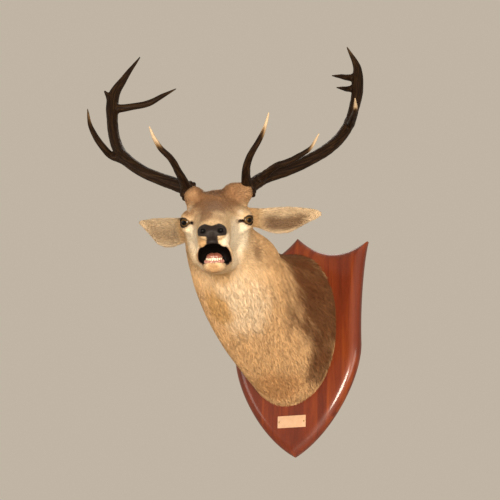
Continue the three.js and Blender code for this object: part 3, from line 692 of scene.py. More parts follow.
# Coat markings, some of them painted light and shade: palette name, frame ("head" or "row"), centre, radii,
# strength, and whether the mark is mirrored to the other side of the head.
MARKS = [
    ("pale", "head", (60, 58, -40), (130, 36, 48), 0.9, True),
    # pale hair on the stag's left cheek, strengthened as painted light on that side of the face
    ("pale", "head", (70, 50, -20), (120, 34, 40), 0.7, False),
    # These two pale marks are painted light: they lift the shade in the hollow between the muzzle and the
    # cheek.
    ("pale", "head", (112, 38, -48), (64, 30, 44), 0.9, True),
    ("pale", "head", (30, 44, -92), (60, 30, 32), 0.7, True),
    ("brow", "head", (-34, 0, 46), (136, 74, 72), 0.97, False),
    ("brow", "head", (72, -6, 42), (106, 47, 30), 0.92, False),
    ("brow", "head", (170, -18, 28), (60, 20, 20), 0.75, False),
    ("brow", "head", (12, -66, 26), (38, 18, 16), 0.75, False),
    ("brow", "head", (190, 8, 27), (26, 26, 12), 0.3, False),
    ("brow", "head", (-70, 64, 70), (48, 44, 38), 0.8, True),
    ("pale", "head", (22, 61, 22), (16, 10, 8), 0.5, False),
    ("pale", "head", (-12, -66, 34), (44, 7, 10), 0.5, False),
    ("brow", "head", (44, 56, 2), (26, 10, 7), 0.5, True),
    # The muzzle is paler on the stag's left, pale hair with painted light on that side, and darker beside
    # the nose on its right.
    ("pale", "head", (213, 34, -24), (34, 22, 20), 0.9, False),
    ("pale", "head", (200, -44, -36), (34, 14, 24), 0.7, False),
    ("straw", "head", (218, -20, -28), (26, 14, 18), 0.6, False),
    ("straw", "head", (206, 0, -92), (40, 17, 18), 0.5, False),
    ("brow", "head", (204, 0, -94), (44, 26, 20), 0.55, False),
    ("brow", "head", (229, -26, -20), (24, 14, 18), 0.3, False),
    ("flank", "head", (-62, 94, -86), (18, 16, 28), 0.55, True),
    ("flank", "head", (-112, 128, -40), (22, 24, 14), 0.6, False),
    ("pale", "row", (-20, -330, 60), (80, 90, 100), 0.45, False),
    ("straw", "head", (20, 0, -134), (90, 34, 24), 0.5, False),
    ("straw", "row", (-72, -352, 52), (40, 60, 62), 0.85, False),
    # Brown flank marks; those on the neck's top and right side, towards positive X, also carry painted shade
    # where the neck turns from the light.
    ("flank", "row", (134, -108, 112), (104, 160, 156), 0.95, False),
    ("flank", "row", (24, -112, 268), (124, 150, 82), 0.95, False),
    ("flank", "row", (72, -118, 192), (78, 92, 82), 0.9, False),
    ("flank", "row", (-196, -108, 110), (98, 112, 152), 0.9, False),
    ("flank", "row", (-40, -260, 290), (90, 240, 48), 0.8, False),
    ("flank", "row", (88, -70, -62), (48, 50, 60), 0.8, False),
    ("flank", "row", (96, -76, -12), (46, 52, 62), 0.8, False),
    ("flank", "row", (59, -197, 48), (22, 36, 44), 0.4, False),
    ("rust", "row", (-24, -112, -118), (90, 66, 62), 0.6, False),
]


def markings(points, palette):
    """Linear colour of the coat at points: the ground colour with the named marks over it, some of them
    painted light and shade, and painted shade in the ears' hollows.
    """
    h = to_head(points)
    mirrored = np.column_stack([h[:, 0], np.abs(h[:, 1]), h[:, 2]])
    waver = 0.12 * ripple(points, 38, 11) + 0.07 * ripple(points, 14, 12)
    colour = np.tile(palette["ground"], (len(points), 1))
    face = smooth(h[:, 0], -110, -20)[:, None]
    colour = colour * (1 - face) + palette["face"] * face
    for name, space, centre, radii, strength, both in MARKS:
        at = {"row": points, "head": mirrored if both else h}[space]
        gone = np.linalg.norm((at - np.array(centre)) / radii, axis=1) + waver
        share = (strength * (1 - smooth(gone, 0.55, 1.15)))[:, None]
        colour = colour * (1 - share) + palette[name] * share
    for ear, shade in zip(EARS.values(), EAR_SHADES):
        q, a, _ = ear["local"](h)
        on_ear = smooth(q, 10, 45) * (ear["field"](h, 0) < 9)
        # painted shade in the lower middle of each ear's hollow, over the ear's darker inside
        hollow = ear["inner"](h) * (1 - smooth(np.abs(a + 9), 8, 26)) * smooth(ear["length"] - q, 18, 70)
        colour = mix(colour, palette["ear"], on_ear)
        colour = mix(colour, palette["pale"], on_ear * ear["inner"](h) * 0.3)
        colour = mix(colour, palette["ear_hollow"], on_ear * hollow * shade)
        colour = mix(colour, palette["pale"], on_ear * smooth(np.abs(a), 22, 34) * 0.1)
    return colour


def mix(colour, other, share):
    share = np.clip(share, 0, 1)[:, None]
    return colour * (1 - share) + other * share


# Bare skin: which place, its palette name, how far its edge reaches, how wet it looks.
BARE_FINISH = [
    ("pad", "pad", 1.6, 0.45),
    ("lids", "lid", 1.5, 0.5),
    ("gland", "lid", 3.5, 0.2),
    ("mouth", "lip", 4.4, 0.4),
    # the near-black mouth colour on the lining and in the nostrils is dark skin with painted shade of their
    # depths
    ("mouth", "mouth", 1.7, 0.2),
    ("nostril", "mouth", 1.6, 0.6),
]
# The hide under the coat is this much of the coat's brightness, as painted shade under the locks.
UNDER_COAT_SHADE = 0.82


def skin_finish(points, palette):
    """Colour, wetness and hairlessness of the hide at points."""
    bare = bare_skin(points)
    # the hide is darkened as painted shade under the coat
    colour = markings(points, palette) * UNDER_COAT_SHADE
    wet = np.zeros(len(points))
    hairless = np.zeros(len(points))
    for key, hue, soft, shine in BARE_FINISH:
        share = 1 - smooth(bare[key], 0.2, soft)
        colour = mix(colour, palette[hue], share)
        wet = np.maximum(wet, share * shine)
        hairless = np.maximum(hairless, share)
    return colour, wet, hairless


# ------------------------------------------------------------------ lie of the coat
# The way that the neck's hair lies: into the wall and down.
NECK_LIE = np.array([0.06, 0.78, -0.72])


def lie(points, normals, wander):
    """Unit tangents along which the hair lies, turned sideways by the wander in radians."""
    h = to_head(points)
    f, s, t = h.T
    side = np.clip(s / 45, -1, 1)[:, None]
    top = smooth(t, 10, 45)[:, None]
    face = -AXIS_F - 0.30 * AXIS_T * (1 - top) + side * AXIS_S * 0.34 * top
    neckward = np.maximum(smooth(-f, 55, 150), smooth(-t, 118, 150))[:, None]
    way = face * (1 - neckward) + NECK_LIE * neckward
    for ear in EARS.values():
        q, a, _ = ear["local"](h)
        share = (smooth(q, 4, 40) * (ear["field"](h, 0) < 12))[:, None]
        along = ear["line"] @ HEAD_AXES.T + (ear["wide"] @ HEAD_AXES.T) * (
            np.clip(a / 34, -1, 1) * 0.25
        )[:, None]
        way = way * (1 - share) + along * share
    way = unit(way - normals * (way * normals).sum(1)[:, None])
    across = np.cross(normals, way)
    return way * np.cos(wander)[:, None] + across * np.sin(wander)[:, None]


def unwrap(points):
    """Place of each root on an unwrap of the hide: the neck, the head and the two ears side by side."""
    h = to_head(points)
    y = -points[:, 1]
    around = np.arctan2(points[:, 0] - neck_drift(y), points[:, 2] - neck_middle(y))
    u = 0.02 + 0.52 * (around / tau + 0.5)
    v = 0.02 + 0.96 * np.clip((y - 28) / 470, 0, 1)
    on_head = h[:, 0] > -100
    spin = np.arctan2(h[:, 1], h[:, 2] + 25)
    u = np.where(on_head, 0.57 + 0.40 * (spin / tau + 0.5), u)
    v = np.where(on_head, 0.02 + 0.54 * np.clip((h[:, 0] + 100) / 355, 0, 1), v)
    for k, ear in enumerate(EARS.values()):
        q, a, b = ear["local"](h)
        on = (q > 12) & (ear["field"](h, 0) < 9)
        spin = np.arctan2(a, b + 8)
        u = np.where(on, 0.57 + 0.21 * k + 0.19 * (spin / tau + 0.5), u)
        v = np.where(on, 0.60 + 0.37 * np.clip(q / ear["length"], 0, 1), v)
    return np.column_stack([u, v])


def roots_on(points, quads, chance, count, rng):
    """Random places on a quad mesh, by area times chance."""
    tri = np.concatenate([quads[:, [0, 1, 2]], quads[:, [0, 2, 3]]])
    corner = points[tri]
    span = np.cross(corner[:, 1] - corner[:, 0], corner[:, 2] - corner[:, 0])
    area = np.linalg.norm(span, axis=1) * chance[tri].mean(1)
    pick = np.searchsorted(np.cumsum(area), rng.random(count) * area.sum())
    pick = np.minimum(pick, len(tri) - 1)
    a, b = rng.random((2, count))
    fold = a + b > 1
    a, b = np.where(fold, 1 - a, a)[:, None], np.where(fold, 1 - b, b)[:, None]
    c = corner[pick]
    return c[:, 0] + a * (c[:, 1] - c[:, 0]) + b * (c[:, 2] - c[:, 0])


def streaks(points):
    """Slow change of tone across the lie of the neck's coat and long along it, about -1 to 1."""
    way = unit(NECK_LIE)
    flat = points - 0.9 * np.outer(points @ way, way)
    return 0.6 * ripple(flat, 13, 31) + 0.5 * ripple(flat, 5, 32)


# Rings of points along a lock, its width along them, how deep its base is sunk, how its crest stands.
LOCK_RINGS = 3
LOCK_SHAPE = [0.55, 1.0, 0.92, 0.66, 0.4]
LOCK_SINK, LOCK_CREST = 0.9, 0.34
# Spread of tone from lock to lock.
LOCK_TONE = 0.07


def grow_locks(roots, long, wide, lift, tousle, palette, rng):
    """Thin tapering locks that follow the hide: points, faces, colours, shares along, and root places.

    long, wide and lift are millimetres for each lock: its length, its widest part and how far its
    tip stands from the hide; tousle is how unruly it is, 1 for a sleek coat. Each lock is a flat
    three-sided spike whose base is sunk in the hide."""
    n = len(roots)
    wander = rng.normal(0, 0.07, n) * tousle + 0.20 * ripple(roots, 75, 5) + 0.03 * ripple(roots, 22, 6)
    normal, value, size = slope_of(hide, roots)
    at = roots.copy()
    shape = np.interp(np.linspace(0, 1, LOCK_RINGS), np.linspace(0, 1, len(LOCK_SHAPE)), LOCK_SHAPE)
    spots, shares = [], []
    for k in range(LOCK_RINGS + 1):
        share = k / LOCK_RINGS
        height = -LOCK_SINK + (lift + LOCK_SINK) * share**0.8
        at = at - normal * (value / np.maximum(size, LEAST_SLOPE) - height)[:, None]
        at[:, 1] = np.minimum(at[:, 1], LOCK_END)
        way = lie(at, normal, wander)
        across = np.cross(way, normal)
        if k < LOCK_RINGS:
            w = (wide * shape[k] / 2)[:, None]
            crest = (wide * shape[k] * LOCK_CREST)[:, None]
            spots += [at - across * w, at + normal * crest, at + across * w]
            shares += [np.full(n, share)] * 3
            at = at + way * (long / LOCK_RINGS)[:, None]
            normal, value, size = slope_of(hide, at)
        else:
            spots.append(at)
            shares.append(np.ones(n))
    each = 3 * LOCK_RINGS + 1
    points = np.stack(spots, 1).reshape(-1, 3)
    share = np.stack(shares, 1).ravel()
    base = (np.arange(n) * each)[:, None]
    quads = []
    for k in range(LOCK_RINGS - 1):
        for a, b in ((0, 1), (1, 2), (2, 0)):
            quads.append(base + np.array([3 * k + b, 3 * k + a, 3 * k + 3 + a, 3 * k + 3 + b]))
    last = 3 * (LOCK_RINGS - 1)
    tris = [base + np.array([last + b, last + a, each - 1]) for a, b in ((0, 1), (1, 2), (2, 0))]
    tris.append(base + np.array([0, 1, 2]))
    colour = markings(roots, palette)
    tone = np.exp(rng.normal(0, LOCK_TONE, n) + 0.19 * streaks(roots) + 0.04 * ripple(roots, 26, 8))[:, None]
    warm = 1 + rng.normal(0, 0.03, n)[:, None] * np.array([1, 0.2, -1])
    colour = np.repeat(np.clip(colour * tone * warm, 0.005, 0.95), each, axis=0)
    place = np.repeat(unwrap(roots), each, axis=0)
    local = np.tile(np.r_[np.tile([-0.0012, 0, 0.0012], LOCK_RINGS), 0], n)
    place = place + np.column_stack([local, (share - 0.5) * 0.0028])
    return points, [np.concatenate(quads), np.concatenate(tris)], colour, share, place


# ------------------------------------------------------------------ materials
def shader(name, **parts):
    """A named material with its Principled shader; uniform numbers go straight onto its sockets."""
    material = bpy.data.materials.new(name)
    material.use_nodes = True
    principled = material.node_tree.nodes["Principled BSDF"]
    for key, value in parts.items():
        principled.inputs[key.replace("_", " ")].default_value = value
    return material, principled


def add(tree, kind, links=None, stops=(), **settings):
    """One node with its settings; links maps its inputs to a socket or a plain value.

    stops are a colour ramp's places and colours."""
    node = tree.nodes.new(kind)
    for key, value in settings.items():
        setattr(node, key, value)
    for key, value in (links or {}).items():
        if isinstance(value, bpy.types.NodeSocket):
            tree.links.new(value, node.inputs[key])
        else:
            node.inputs[key].default_value = value
    while stops and len(node.color_ramp.elements) < len(stops):
        node.color_ramp.elements.new(0.5)
    for k, (place, colour) in enumerate(stops):
        node.color_ramp.elements[k].position = place
        node.color_ramp.elements[k].color = colour if len(colour) == 4 else (*colour, 1)
    return node


# The kinds of shader node that are used more than once.
NOISE, RAMP, RANGE = "ShaderNodeTexNoise", "ShaderNodeValToRGB", "ShaderNodeMapRange"
MIX, MATH, BUMP = "ShaderNodeMix", "ShaderNodeMath", "ShaderNodeBump"
ATTRIBUTE, MAPPING, PLACES = "ShaderNodeAttribute", "ShaderNodeMapping", "ShaderNodeTexCoord"
# A Mix node's settings where one colour multiplies another.
MULTIPLIED = {"data_type": "RGBA", "blend_type": "MULTIPLY"}


def grey(value):
    return (value, value, value, 1.0)


def head_turn():
    """Euler angles that lay the head frame's axes along X, Y and Z for a Mapping node."""
    return Matrix(HEAD_AXES.T.tolist()).to_euler()


def hide_material():
    # Tanned hide under short hair: matt, with fine hair strokes along the head; bare skin is smooth and wet.
    material, out = shader("deer_hide")
    tree = material.node_tree
    place = add(tree, PLACES).outputs["Object"]
    turned = add(tree, MAPPING, {"Vector": place, "Rotation": tuple(head_turn())})
    laid = add(tree, MAPPING, {"Vector": turned.outputs[0], "Scale": (0.12, 1, 1)}).outputs[0]
    # hair strokes about 0.9 mm across and 8 mm long
    strokes = add(tree, NOISE, {"Vector": laid, "Scale": 700.0, "Detail": 3.0}).outputs["Fac"]
    clumps = add(tree, NOISE, {"Vector": laid, "Scale": 160.0, "Detail": 2.0}).outputs["Fac"]
    # pebbled bare skin, cells about 1.6 mm
    cells = add(tree, "ShaderNodeTexVoronoi", {"Vector": place, "Scale": 620.0}).outputs["Distance"]
    pebbles = add(tree, MATH, {0: cells, 1: 0.35}, operation="MULTIPLY").outputs[0]
    coat = add(tree, ATTRIBUTE, attribute_name="Coat").outputs["Color"]
    bare = add(tree, ATTRIBUTE, attribute_name="Bare").outputs["Fac"]
    wet = add(tree, ATTRIBUTE, attribute_name="Wet").outputs["Fac"]
    tone = add(
        tree, RAMP, {"Fac": strokes}, stops=[(0.3, grey(0.70)), (0.7, grey(1.22))]
    ).outputs["Color"]
    patch = add(
        tree, RAMP, {"Fac": clumps}, stops=[(0.3, grey(0.84)), (0.7, grey(1.14))]
    ).outputs["Color"]
    both = add(tree, MIX, {"Factor": 1.0, 6: tone, 7: patch}, **MULTIPLIED).outputs[2]
    even = add(tree, MIX, {"Factor": bare, 6: both, 7: grey(1.0)}, data_type="RGBA").outputs[2]
    colour = add(tree, MIX, {"Factor": 1.0, 6: coat, 7: even}, **MULTIPLIED).outputs[2]
    tree.links.new(colour, out.inputs["Base Color"])
    rough = add(tree, RANGE, {"Value": wet, "To Min": 0.78, "To Max": 0.42}).outputs[0]
    tree.links.new(rough, out.inputs["Roughness"])
    shine = add(tree, RANGE, {"Value": wet, "To Min": 0.08, "To Max": 0.4}).outputs[0]
    tree.links.new(shine, out.inputs["Specular IOR Level"])
    height = add(tree, MIX, {"Factor": bare, 2: strokes, 3: pebbles}, data_type="FLOAT").outputs[0]
    bump = add(tree, BUMP, {"Height": height, "Strength": 0.4, "Distance": 0.0005})
    tree.links.new(bump.outputs["Normal"], out.inputs["Normal"])
    return material


def coat_material():
    # Deer hair in locks: each lock has its own tone, darkened toward the root and paler toward the tip as
    # painted shade among the locks.
    material, out = shader("deer_hair", Roughness=0.7, Specular_IOR_Level=0.1)
    tree = material.node_tree
    coat = add(tree, ATTRIBUTE, attribute_name="Coat").outputs["Color"]
    along = add(tree, ATTRIBUTE, attribute_name="Along").outputs["Fac"]
    place = add(tree, PLACES).outputs["Object"]
    # single hairs are about 0.1 mm, drawn 0.7 mm wide so that they show
    hairs = add(tree, NOISE, {"Vector": place, "Scale": 900.0, "Detail": 2.0}).outputs["Fac"]
    # painted shade: darker at the root of each lock, lighter at its tip
    length = add(
        tree, RAMP, {"Fac": along},
        stops=[(0.0, grey(0.78)), (0.30, grey(0.96)), (0.75, grey(1.03)), (1.0, grey(1.08))],
    ).outputs["Color"]
    tone = add(tree, RAMP, {"Fac": hairs}, stops=[(0.3, grey(0.93)), (0.7, grey(1.06))]).outputs["Color"]
    both = add(tree, MIX, {"Factor": 1.0, 6: length, 7: tone}, **MULTIPLIED).outputs[2]
    colour = add(tree, MIX, {"Factor": 1.0, 6: coat, 7: both}, **MULTIPLIED).outputs[2]
    tree.links.new(colour, out.inputs["Base Color"])
    bump = add(tree, BUMP, {"Height": hairs, "Strength": 0.3, "Distance": 0.0004})
    tree.links.new(bump.outputs["Normal"], out.inputs["Normal"])
    return material


def antler_material(colours):
    # Old antler: dark stained bone, grooved along its length, with the ridges and tips worn pale.
    material, out = shader("stained_antler", Specular_IOR_Level=0.07)
    tree = material.node_tree
    grain = add(tree, ATTRIBUTE, attribute_name="Grain").outputs["Vector"]
    worn = add(tree, ATTRIBUTE, attribute_name="Worn").outputs["Fac"]
    # grooves about 2.5 mm apart
    grooves = add(tree, NOISE, {"Vector": grain, "Scale": 260.0, "Detail": 4.0}).outputs["Fac"]
    blotch = add(tree, NOISE, {"Vector": grain, "Scale": 70.0, "Detail": 2.0}).outputs["Fac"]
    dark = add(
        tree, RAMP, {"Fac": grooves},
        stops=[(0.32, colours["antler_dark"]), (0.52, colours["antler"]), (0.72, colours["antler_ridge"])],
    ).outputs["Color"]
    uneven = add(tree, MATH, {0: blotch, 1: -0.5}).outputs[0]
    shifted = add(tree, MATH, {0: worn, 1: uneven}).outputs[0]
    limits = {"Value": shifted, "From Min": 0.30, "From Max": 0.85}
    share = add(tree, RANGE, limits, interpolation_type="SMOOTHSTEP").outputs[0]
    tip = add(
        tree, RAMP, {"Fac": share},
        stops=[(0.0, colours["antler_ridge"]), (0.5, colours["antler_tan"]), (1.0, colours["antler_tip"])],
    ).outputs["Color"]
    colour = add(tree, MIX, {"Factor": share, 6: dark, 7: tip}, data_type="RGBA").outputs[2]
    tree.links.new(colour, out.inputs["Base Color"])
    limits = {"Value": grooves, "From Min": 0.3, "From Max": 0.7, "To Min": 0.60, "To Max": 0.40}
    rough = add(tree, RANGE, limits).outputs[0]
    tree.links.new(rough, out.inputs["Roughness"])
    bump = add(tree, BUMP, {"Height": grooves, "Strength": 0.7, "Distance": 0.0012})
    tree.links.new(bump.outputs["Normal"], out.inputs["Normal"])
    return material


def eye_material(colours):
    # Blown glass eye: a wide dark pupil in an amber iris, under a clear polished front.
    material, out = shader(
        "glass_eye", Roughness=0.5, Specular_IOR_Level=0.0, Coat_Weight=0.35, Coat_Roughness=0.03
    )
    tree = material.node_tree
    gaze = add(tree, ATTRIBUTE, attribute_name="Gaze").outputs["Vector"]
    flat = add(tree, MAPPING, {"Vector": gaze, "Scale": (0.80, 1.0, 0.0)}).outputs[0]
    reach = add(tree, "ShaderNodeVectorMath", {0: flat}, operation="LENGTH").outputs["Value"]
    fibres = add(tree, NOISE, {"Vector": gaze, "Scale": 420.0, "Detail": 3.0}).outputs["Fac"]
    reach = add(tree, MATH, {0: fibres, 1: 0.0010, 2: reach}, operation="MULTIPLY_ADD").outputs[0]
    place = add(tree, RANGE, {"Value": reach, "From Min": 0.0, "From Max": 0.016}).outputs[0]
    colour = add(
        tree, RAMP, {"Fac": place},
        stops=[
            (0.0, colours["pupil"]),
            (0.40, colours["pupil"]),
            (0.47, colours["iris"]),
            (0.60, colours["iris"]),
            (0.74, colours["iris_rim"]),
            (1.0, colours["pupil"]),
        ],
    ).outputs["Color"]
    tree.links.new(colour, out.inputs["Base Color"])
    return material


def wet_material(name, colour, deep, scale, roughness):
    # Painted wax of the mouth: mottled flesh with a varnish shine.
    material, out = shader(name, Roughness=roughness, Coat_Weight=0.4, Coat_Roughness=0.15)
    tree = material.node_tree
    place = add(tree, PLACES).outputs["Object"]
    mottle = add(tree, NOISE, {"Vector": place, "Scale": scale, "Detail": 3.0}).outputs["Fac"]
    shade = add(tree, RAMP, {"Fac": mottle}, stops=[(0.3, deep), (0.7, colour)]).outputs["Color"]
    tree.links.new(shade, out.inputs["Base Color"])
    bump = add(tree, BUMP, {"Height": mottle, "Strength": 0.3, "Distance": 0.0005})
    tree.links.new(bump.outputs["Normal"], out.inputs["Normal"])
    return material


def wood_material(colours):
    # French polished mahogany: fine upright grain, a deep red brown, a hard gloss with slight waviness.
    material, out = shader(
        "polished_mahogany",
        Roughness=0.42,
        Coat_Weight=0.45,
        Coat_Roughness=0.11,
        Specular_IOR_Level=0.2,
    )
    tree = material.node_tree
    place = add(tree, PLACES).outputs["Object"]
    long = add(tree, MAPPING, {"Vector": place, "Scale": (1.0, 1.0, 0.06)}).outputs[0]
    # growth bands about 20 mm apart, pores about 0.8 mm wide and 12 mm long
    bands = add(
        tree, NOISE, {"Vector": long, "Scale": 38.0, "Detail": 5.0, "Distortion": 0.8}
    ).outputs["Fac"]
    pores = add(tree, NOISE, {"Vector": long, "Scale": 800.0, "Detail": 2.0}).outputs["Fac"]
    base = add(
        tree, RAMP, {"Fac": bands},
        stops=[(0.22, colours["wood_dark"]), (0.5, colours["wood"]), (0.82, colours["wood_light"])],
    ).outputs["Color"]
    fleck = add(
        tree, RAMP, {"Fac": pores}, stops=[(0.34, grey(0.84)), (0.50, grey(1.0))]
    ).outputs["Color"]
    colour = add(tree, MIX, {"Factor": 1.0, 6: base, 7: fleck}, **MULTIPLIED).outputs[2]
    tree.links.new(colour, out.inputs["Base Color"])
    wave = add(tree, NOISE, {"Vector": place, "Scale": 30.0, "Detail": 1.0}).outputs["Fac"]
    bump = add(tree, BUMP, {"Height": pores, "Strength": 0.12, "Distance": 0.0003})
    second = add(
        tree,
        BUMP,
        {"Height": wave, "Strength": 0.15, "Distance": 0.002, "Normal": bump.outputs[0]},
    )
    tree.links.new(second.outputs["Normal"], out.inputs["Normal"])
    return material


def plain_material(name, colour, roughness, metallic=0.0, spread=0.12, scale=300.0):
    # A plain finish with slight unevenness of tone.
    material, out = shader(name, Roughness=roughness, Metallic=metallic)
    tree = material.node_tree
    place = add(tree, PLACES).outputs["Object"]
    mottle = add(tree, NOISE, {"Vector": place, "Scale": scale, "Detail": 3.0}).outputs["Fac"]
    low = tuple(c * (1 - spread) for c in colour[:3])
    high = tuple(min(c * (1 + spread), 1) for c in colour[:3])
    shade = add(tree, RAMP, {"Fac": mottle}, stops=[(0.3, low), (0.7, high)]).outputs["Color"]
    tree.links.new(shade, out.inputs["Base Color"])
    bump = add(tree, BUMP, {"Height": mottle, "Strength": 0.2, "Distance": 0.0002})
    tree.links.new(bump.outputs["Normal"], out.inputs["Normal"])
    return material


# ------------------------------------------------------------------ antlers
# Branches of an antler: places in the head frame with their radii, and how far its tip is worn pale.
RIGHT_ANTLER = {
    "beam": (
        [
            (-72, -62, 60, 19), (-84, -72, 74, 18.5), (-112, -106, 90, 17.5),
            (-144, -151, 106, 16.5), (-179, -197, 124, 16), (-208, -233, 146, 16.5),
            (-233, -258, 165, 17), (-267, -277, 190, 16), (-296, -289, 219, 15.5),
            (-336, -298, 267, 15.5), (-362, -300, 300, 18), (-379, -298, 332, 17),
            (-406, -266, 387, 9.5), (-424, -221, 445, 2),
        ],
        0.35,
    ),
    "brow": (
        [
            (-88, -76, 76, 15), (-60, -82, 98, 12.5), (-19, -91, 127, 9.5),
            (26, -108, 167, 8.2), (45, -128, 191, 7), (56, -137, 208, 5.5),
            (73, -149, 243, 1.8),
        ],
        1.0,
    ),
    "tray": (
        [
            (-228, -252, 160, 14), (-238, -275, 164, 12), (-247, -291, 169, 10.5),
            (-223, -311, 195, 9.5), (-199, -327, 227, 8), (-180, -335, 255, 5.8),
            (-160, -336, 297, 1.8),
        ],
        0.6,
    ),
    "crown": (
        [
            (-362, -296, 300, 13), (-356, -270, 300, 11), (-355, -244, 303, 9.5),
            (-350, -194, 311, 9), (-345, -153, 330, 6.2), (-330, -114, 347, 1.8),
        ],
        0.5,
    ),
    "snag": ([(-376, -300, 326, 11), (-372, -310, 336, 8), (-368, -319, 349, 3)], 0.2),
}
LEFT_ANTLER = {
    "beam": (
        [
            (-76, 70, 60, 19.5), (-88, 80, 74, 19), (-101, 94, 83, 18),
            (-130, 125, 99, 17), (-163, 187, 116, 16.5), (-200, 251, 140, 16),
            (-233, 300, 165, 16), (-272, 338, 194, 15.5), (-306, 367, 231, 15),
            (-340, 384, 272, 14.5), (-373, 398, 320, 16.5), (-389, 401, 353, 17),
            (-406, 403, 386, 12), (-424, 377, 449, 2),
        ],
        0.4,
    ),
    "brow": (
        [
            (-88, 80, 78, 15), (-50, 78, 105, 12), (-3, 83, 141, 9.5),
            (30, 96, 170, 8.2), (46, 111, 193, 7), (64, 126, 220, 5.5),
            (78, 142, 266, 1.8),
        ],
        1.0,
    ),
    "bez": (
        [
            (-116, 110, 94, 12), (-82, 138, 118, 9.5), (-59, 161, 133, 8.5),
            (-49, 185, 141, 8), (-37, 214, 155, 7), (-22, 243, 174, 5),
            (-4, 265, 209, 1.8),
        ],
        0.95,
    ),
    "tray": (
        [
            (-312, 367, 236, 12), (-290, 368, 228, 11), (-230, 371, 246, 9.5),
            (-175, 373, 266, 7), (-120, 368, 295, 1.8),
        ],
        1.0,
    ),
    "crown_upper": (
        [(-398, 400, 362, 13), (-392, 381, 361, 9.5), (-360, 352, 364, 6.5), (-330, 325, 366, 1.8)],
        0.3,
    ),
    "crown_lower": (
        [(-384, 398, 330, 12), (-378, 376, 329, 8.5), (-340, 355, 330, 5.5), (-310, 336, 332, 1.8)],
        0.3,
    ),
}
# The burr at the base of each antler: its middle, and a place farther up the beam.
BURRS = {
    "right": ((-86, -74, 75), (-144, -151, 106)),
    "left": ((-91, 83, 76), (-163, 187, 116)),
}
# Pace along a branch, room round the whole antler, and how many points are read together.
BRANCH_PACE, ANTLER_MARGIN, READ_AT_ONCE = 5.0, 32, 40000
# The burr: distance from the beam's axis to the middle of its ring, and half the ring's thickness.
BURR_REACH, BURR_THICK = 20.5, 6.2


def thread(points, pace):
    """A smooth line through points, stepped at about the given pace: places, radii and lengths."""
    rows = np.array(points, float)
    knots = np.r_[0, np.cumsum(np.linalg.norm(np.diff(rows[:, :3], axis=0), axis=1))]
    count = max(int(knots[-1] / pace), 4)
    q = np.linspace(0, knots[-1], count + 1)
    slope = np.gradient(rows, knots, axis=0)
    i = np.clip(np.searchsorted(knots, q, side="right") - 1, 0, len(knots) - 2)
    h = (knots[i + 1] - knots[i])[:, None]
    u = ((q - knots[i])[:, None]) / h
    line = (
        rows[i] * (2 * u**3 - 3 * u**2 + 1)
        + slope[i] * h * (u**3 - 2 * u**2 + u)
        + rows[i + 1] * (3 * u**2 - 2 * u**3)
        + slope[i + 1] * h * (u**3 - u**2)
    )
    radius = np.interp(q, knots, rows[:, 3])
    return from_head(line[:, :3]), radius, q


def antler(branches, burr):
    """Field of one antler with its grain: rods along each branch, blended at the forks."""
    threads = [thread(rows, BRANCH_PACE) for rows, _ in branches.values()]
    pales = [pale for _, pale in branches.values()]
    base, toward = from_head(burr[0]), from_head(burr[1])
    pole = unit(toward - base)
    side = unit(np.cross(pole, [0, 0, 1]))
    third = np.cross(pole, side)

    def read(points, places, radii):
        """Distance to one branch and the place along it."""
        spread = ((points[:, None, :] - places[None]) ** 2).sum(-1)
        near = spread.argmin(1)
        best = np.full(len(points), 1e3)
        along = np.zeros(len(points))
        foot = np.zeros((len(points), 3))
        for shift in (-1, 0):
            i = np.clip(near + shift, 0, len(places) - 2)
            p, axis = places[i], places[i + 1] - places[i]
            u = np.clip(((points - p) * axis).sum(1) / (axis**2).sum(1), 0, 1)
            at = p + u[:, None] * axis
            d = np.linalg.norm(points - at, axis=1) - (radii[i] * (1 - u) + radii[i + 1] * u)
            closer = d < best
            best = np.where(closer, d, best)
            along = np.where(closer, i + u, along)
            foot = np.where(closer[:, None], at, foot)
        return best, along, foot

    def field(points):
        total = None
        for places, radii, _ in threads:
            parts = []
            for low in range(0, len(points), READ_AT_ONCE):
                parts.append(read(points[low : low + READ_AT_ONCE], places, radii)[0])
            d = np.concatenate(parts)
            total = d if total is None else blend(total, d, 7)
        q = points - base
        rise = q @ pole
        turn = np.arctan2(q @ side, q @ third)
        far = np.hypot(q @ side, q @ third)
        ring = BURR_REACH + 1.4 * np.sin(7 * turn) + 1.1 * np.sin(11 * turn + 1)
        knob = np.hypot(far - ring, rise * 0.9) - BURR_THICK - 0.7 * np.sin(9 * turn + 2)
        total = blend(total, knob, 6)
        pearl = (1 - smooth(rise, 10, 150)) * smooth(rise, 2, 14)
        return total - 0.9 * pearl * ripple(points, 11, 21) - 0.35 * ripple(points, 24, 22)

    def grain(points):
        """Coordinates that run with each branch, and how worn and pale it is."""
        best = np.full(len(points), 1e3)
        coords = np.zeros((len(points), 3))
        worn = np.zeros(len(points))
        for (places, radii, lengths), pale in zip(threads, pales):
            d, along, foot = read(points, places, radii)
            closer = d < best
            best = np.where(closer, d, best)
            q = np.interp(along, np.arange(len(lengths)), lengths)
            off = points - foot
            local = np.column_stack([off @ [1, 0.2, 0.1], off @ [-0.1, 1, 0.2], off[:, 2] + 0.10 * q])
            coords = np.where(closer[:, None], local, coords)
            share = pale * smooth(q / lengths[-1], 0.58, 0.94)
            worn = np.where(closer, share, worn)
        return coords * MM, worn

    start = np.min([p.min(0) for p, _, _ in threads], axis=0) - ANTLER_MARGIN
    end = np.max([p.max(0) for p, _, _ in threads], axis=0) + ANTLER_MARGIN
    return field, grain, start, end


# ------------------------------------------------------------------ settings
def colour_choice(name, description, default):
    return FloatVectorProperty(
        name=name,
        description=description,
        subtype="COLOR_GAMMA",
        size=3,
        min=0,
        max=1,
        default=[int(default[i : i + 2], 16) / 255 for i in (1, 3, 5)],
    )


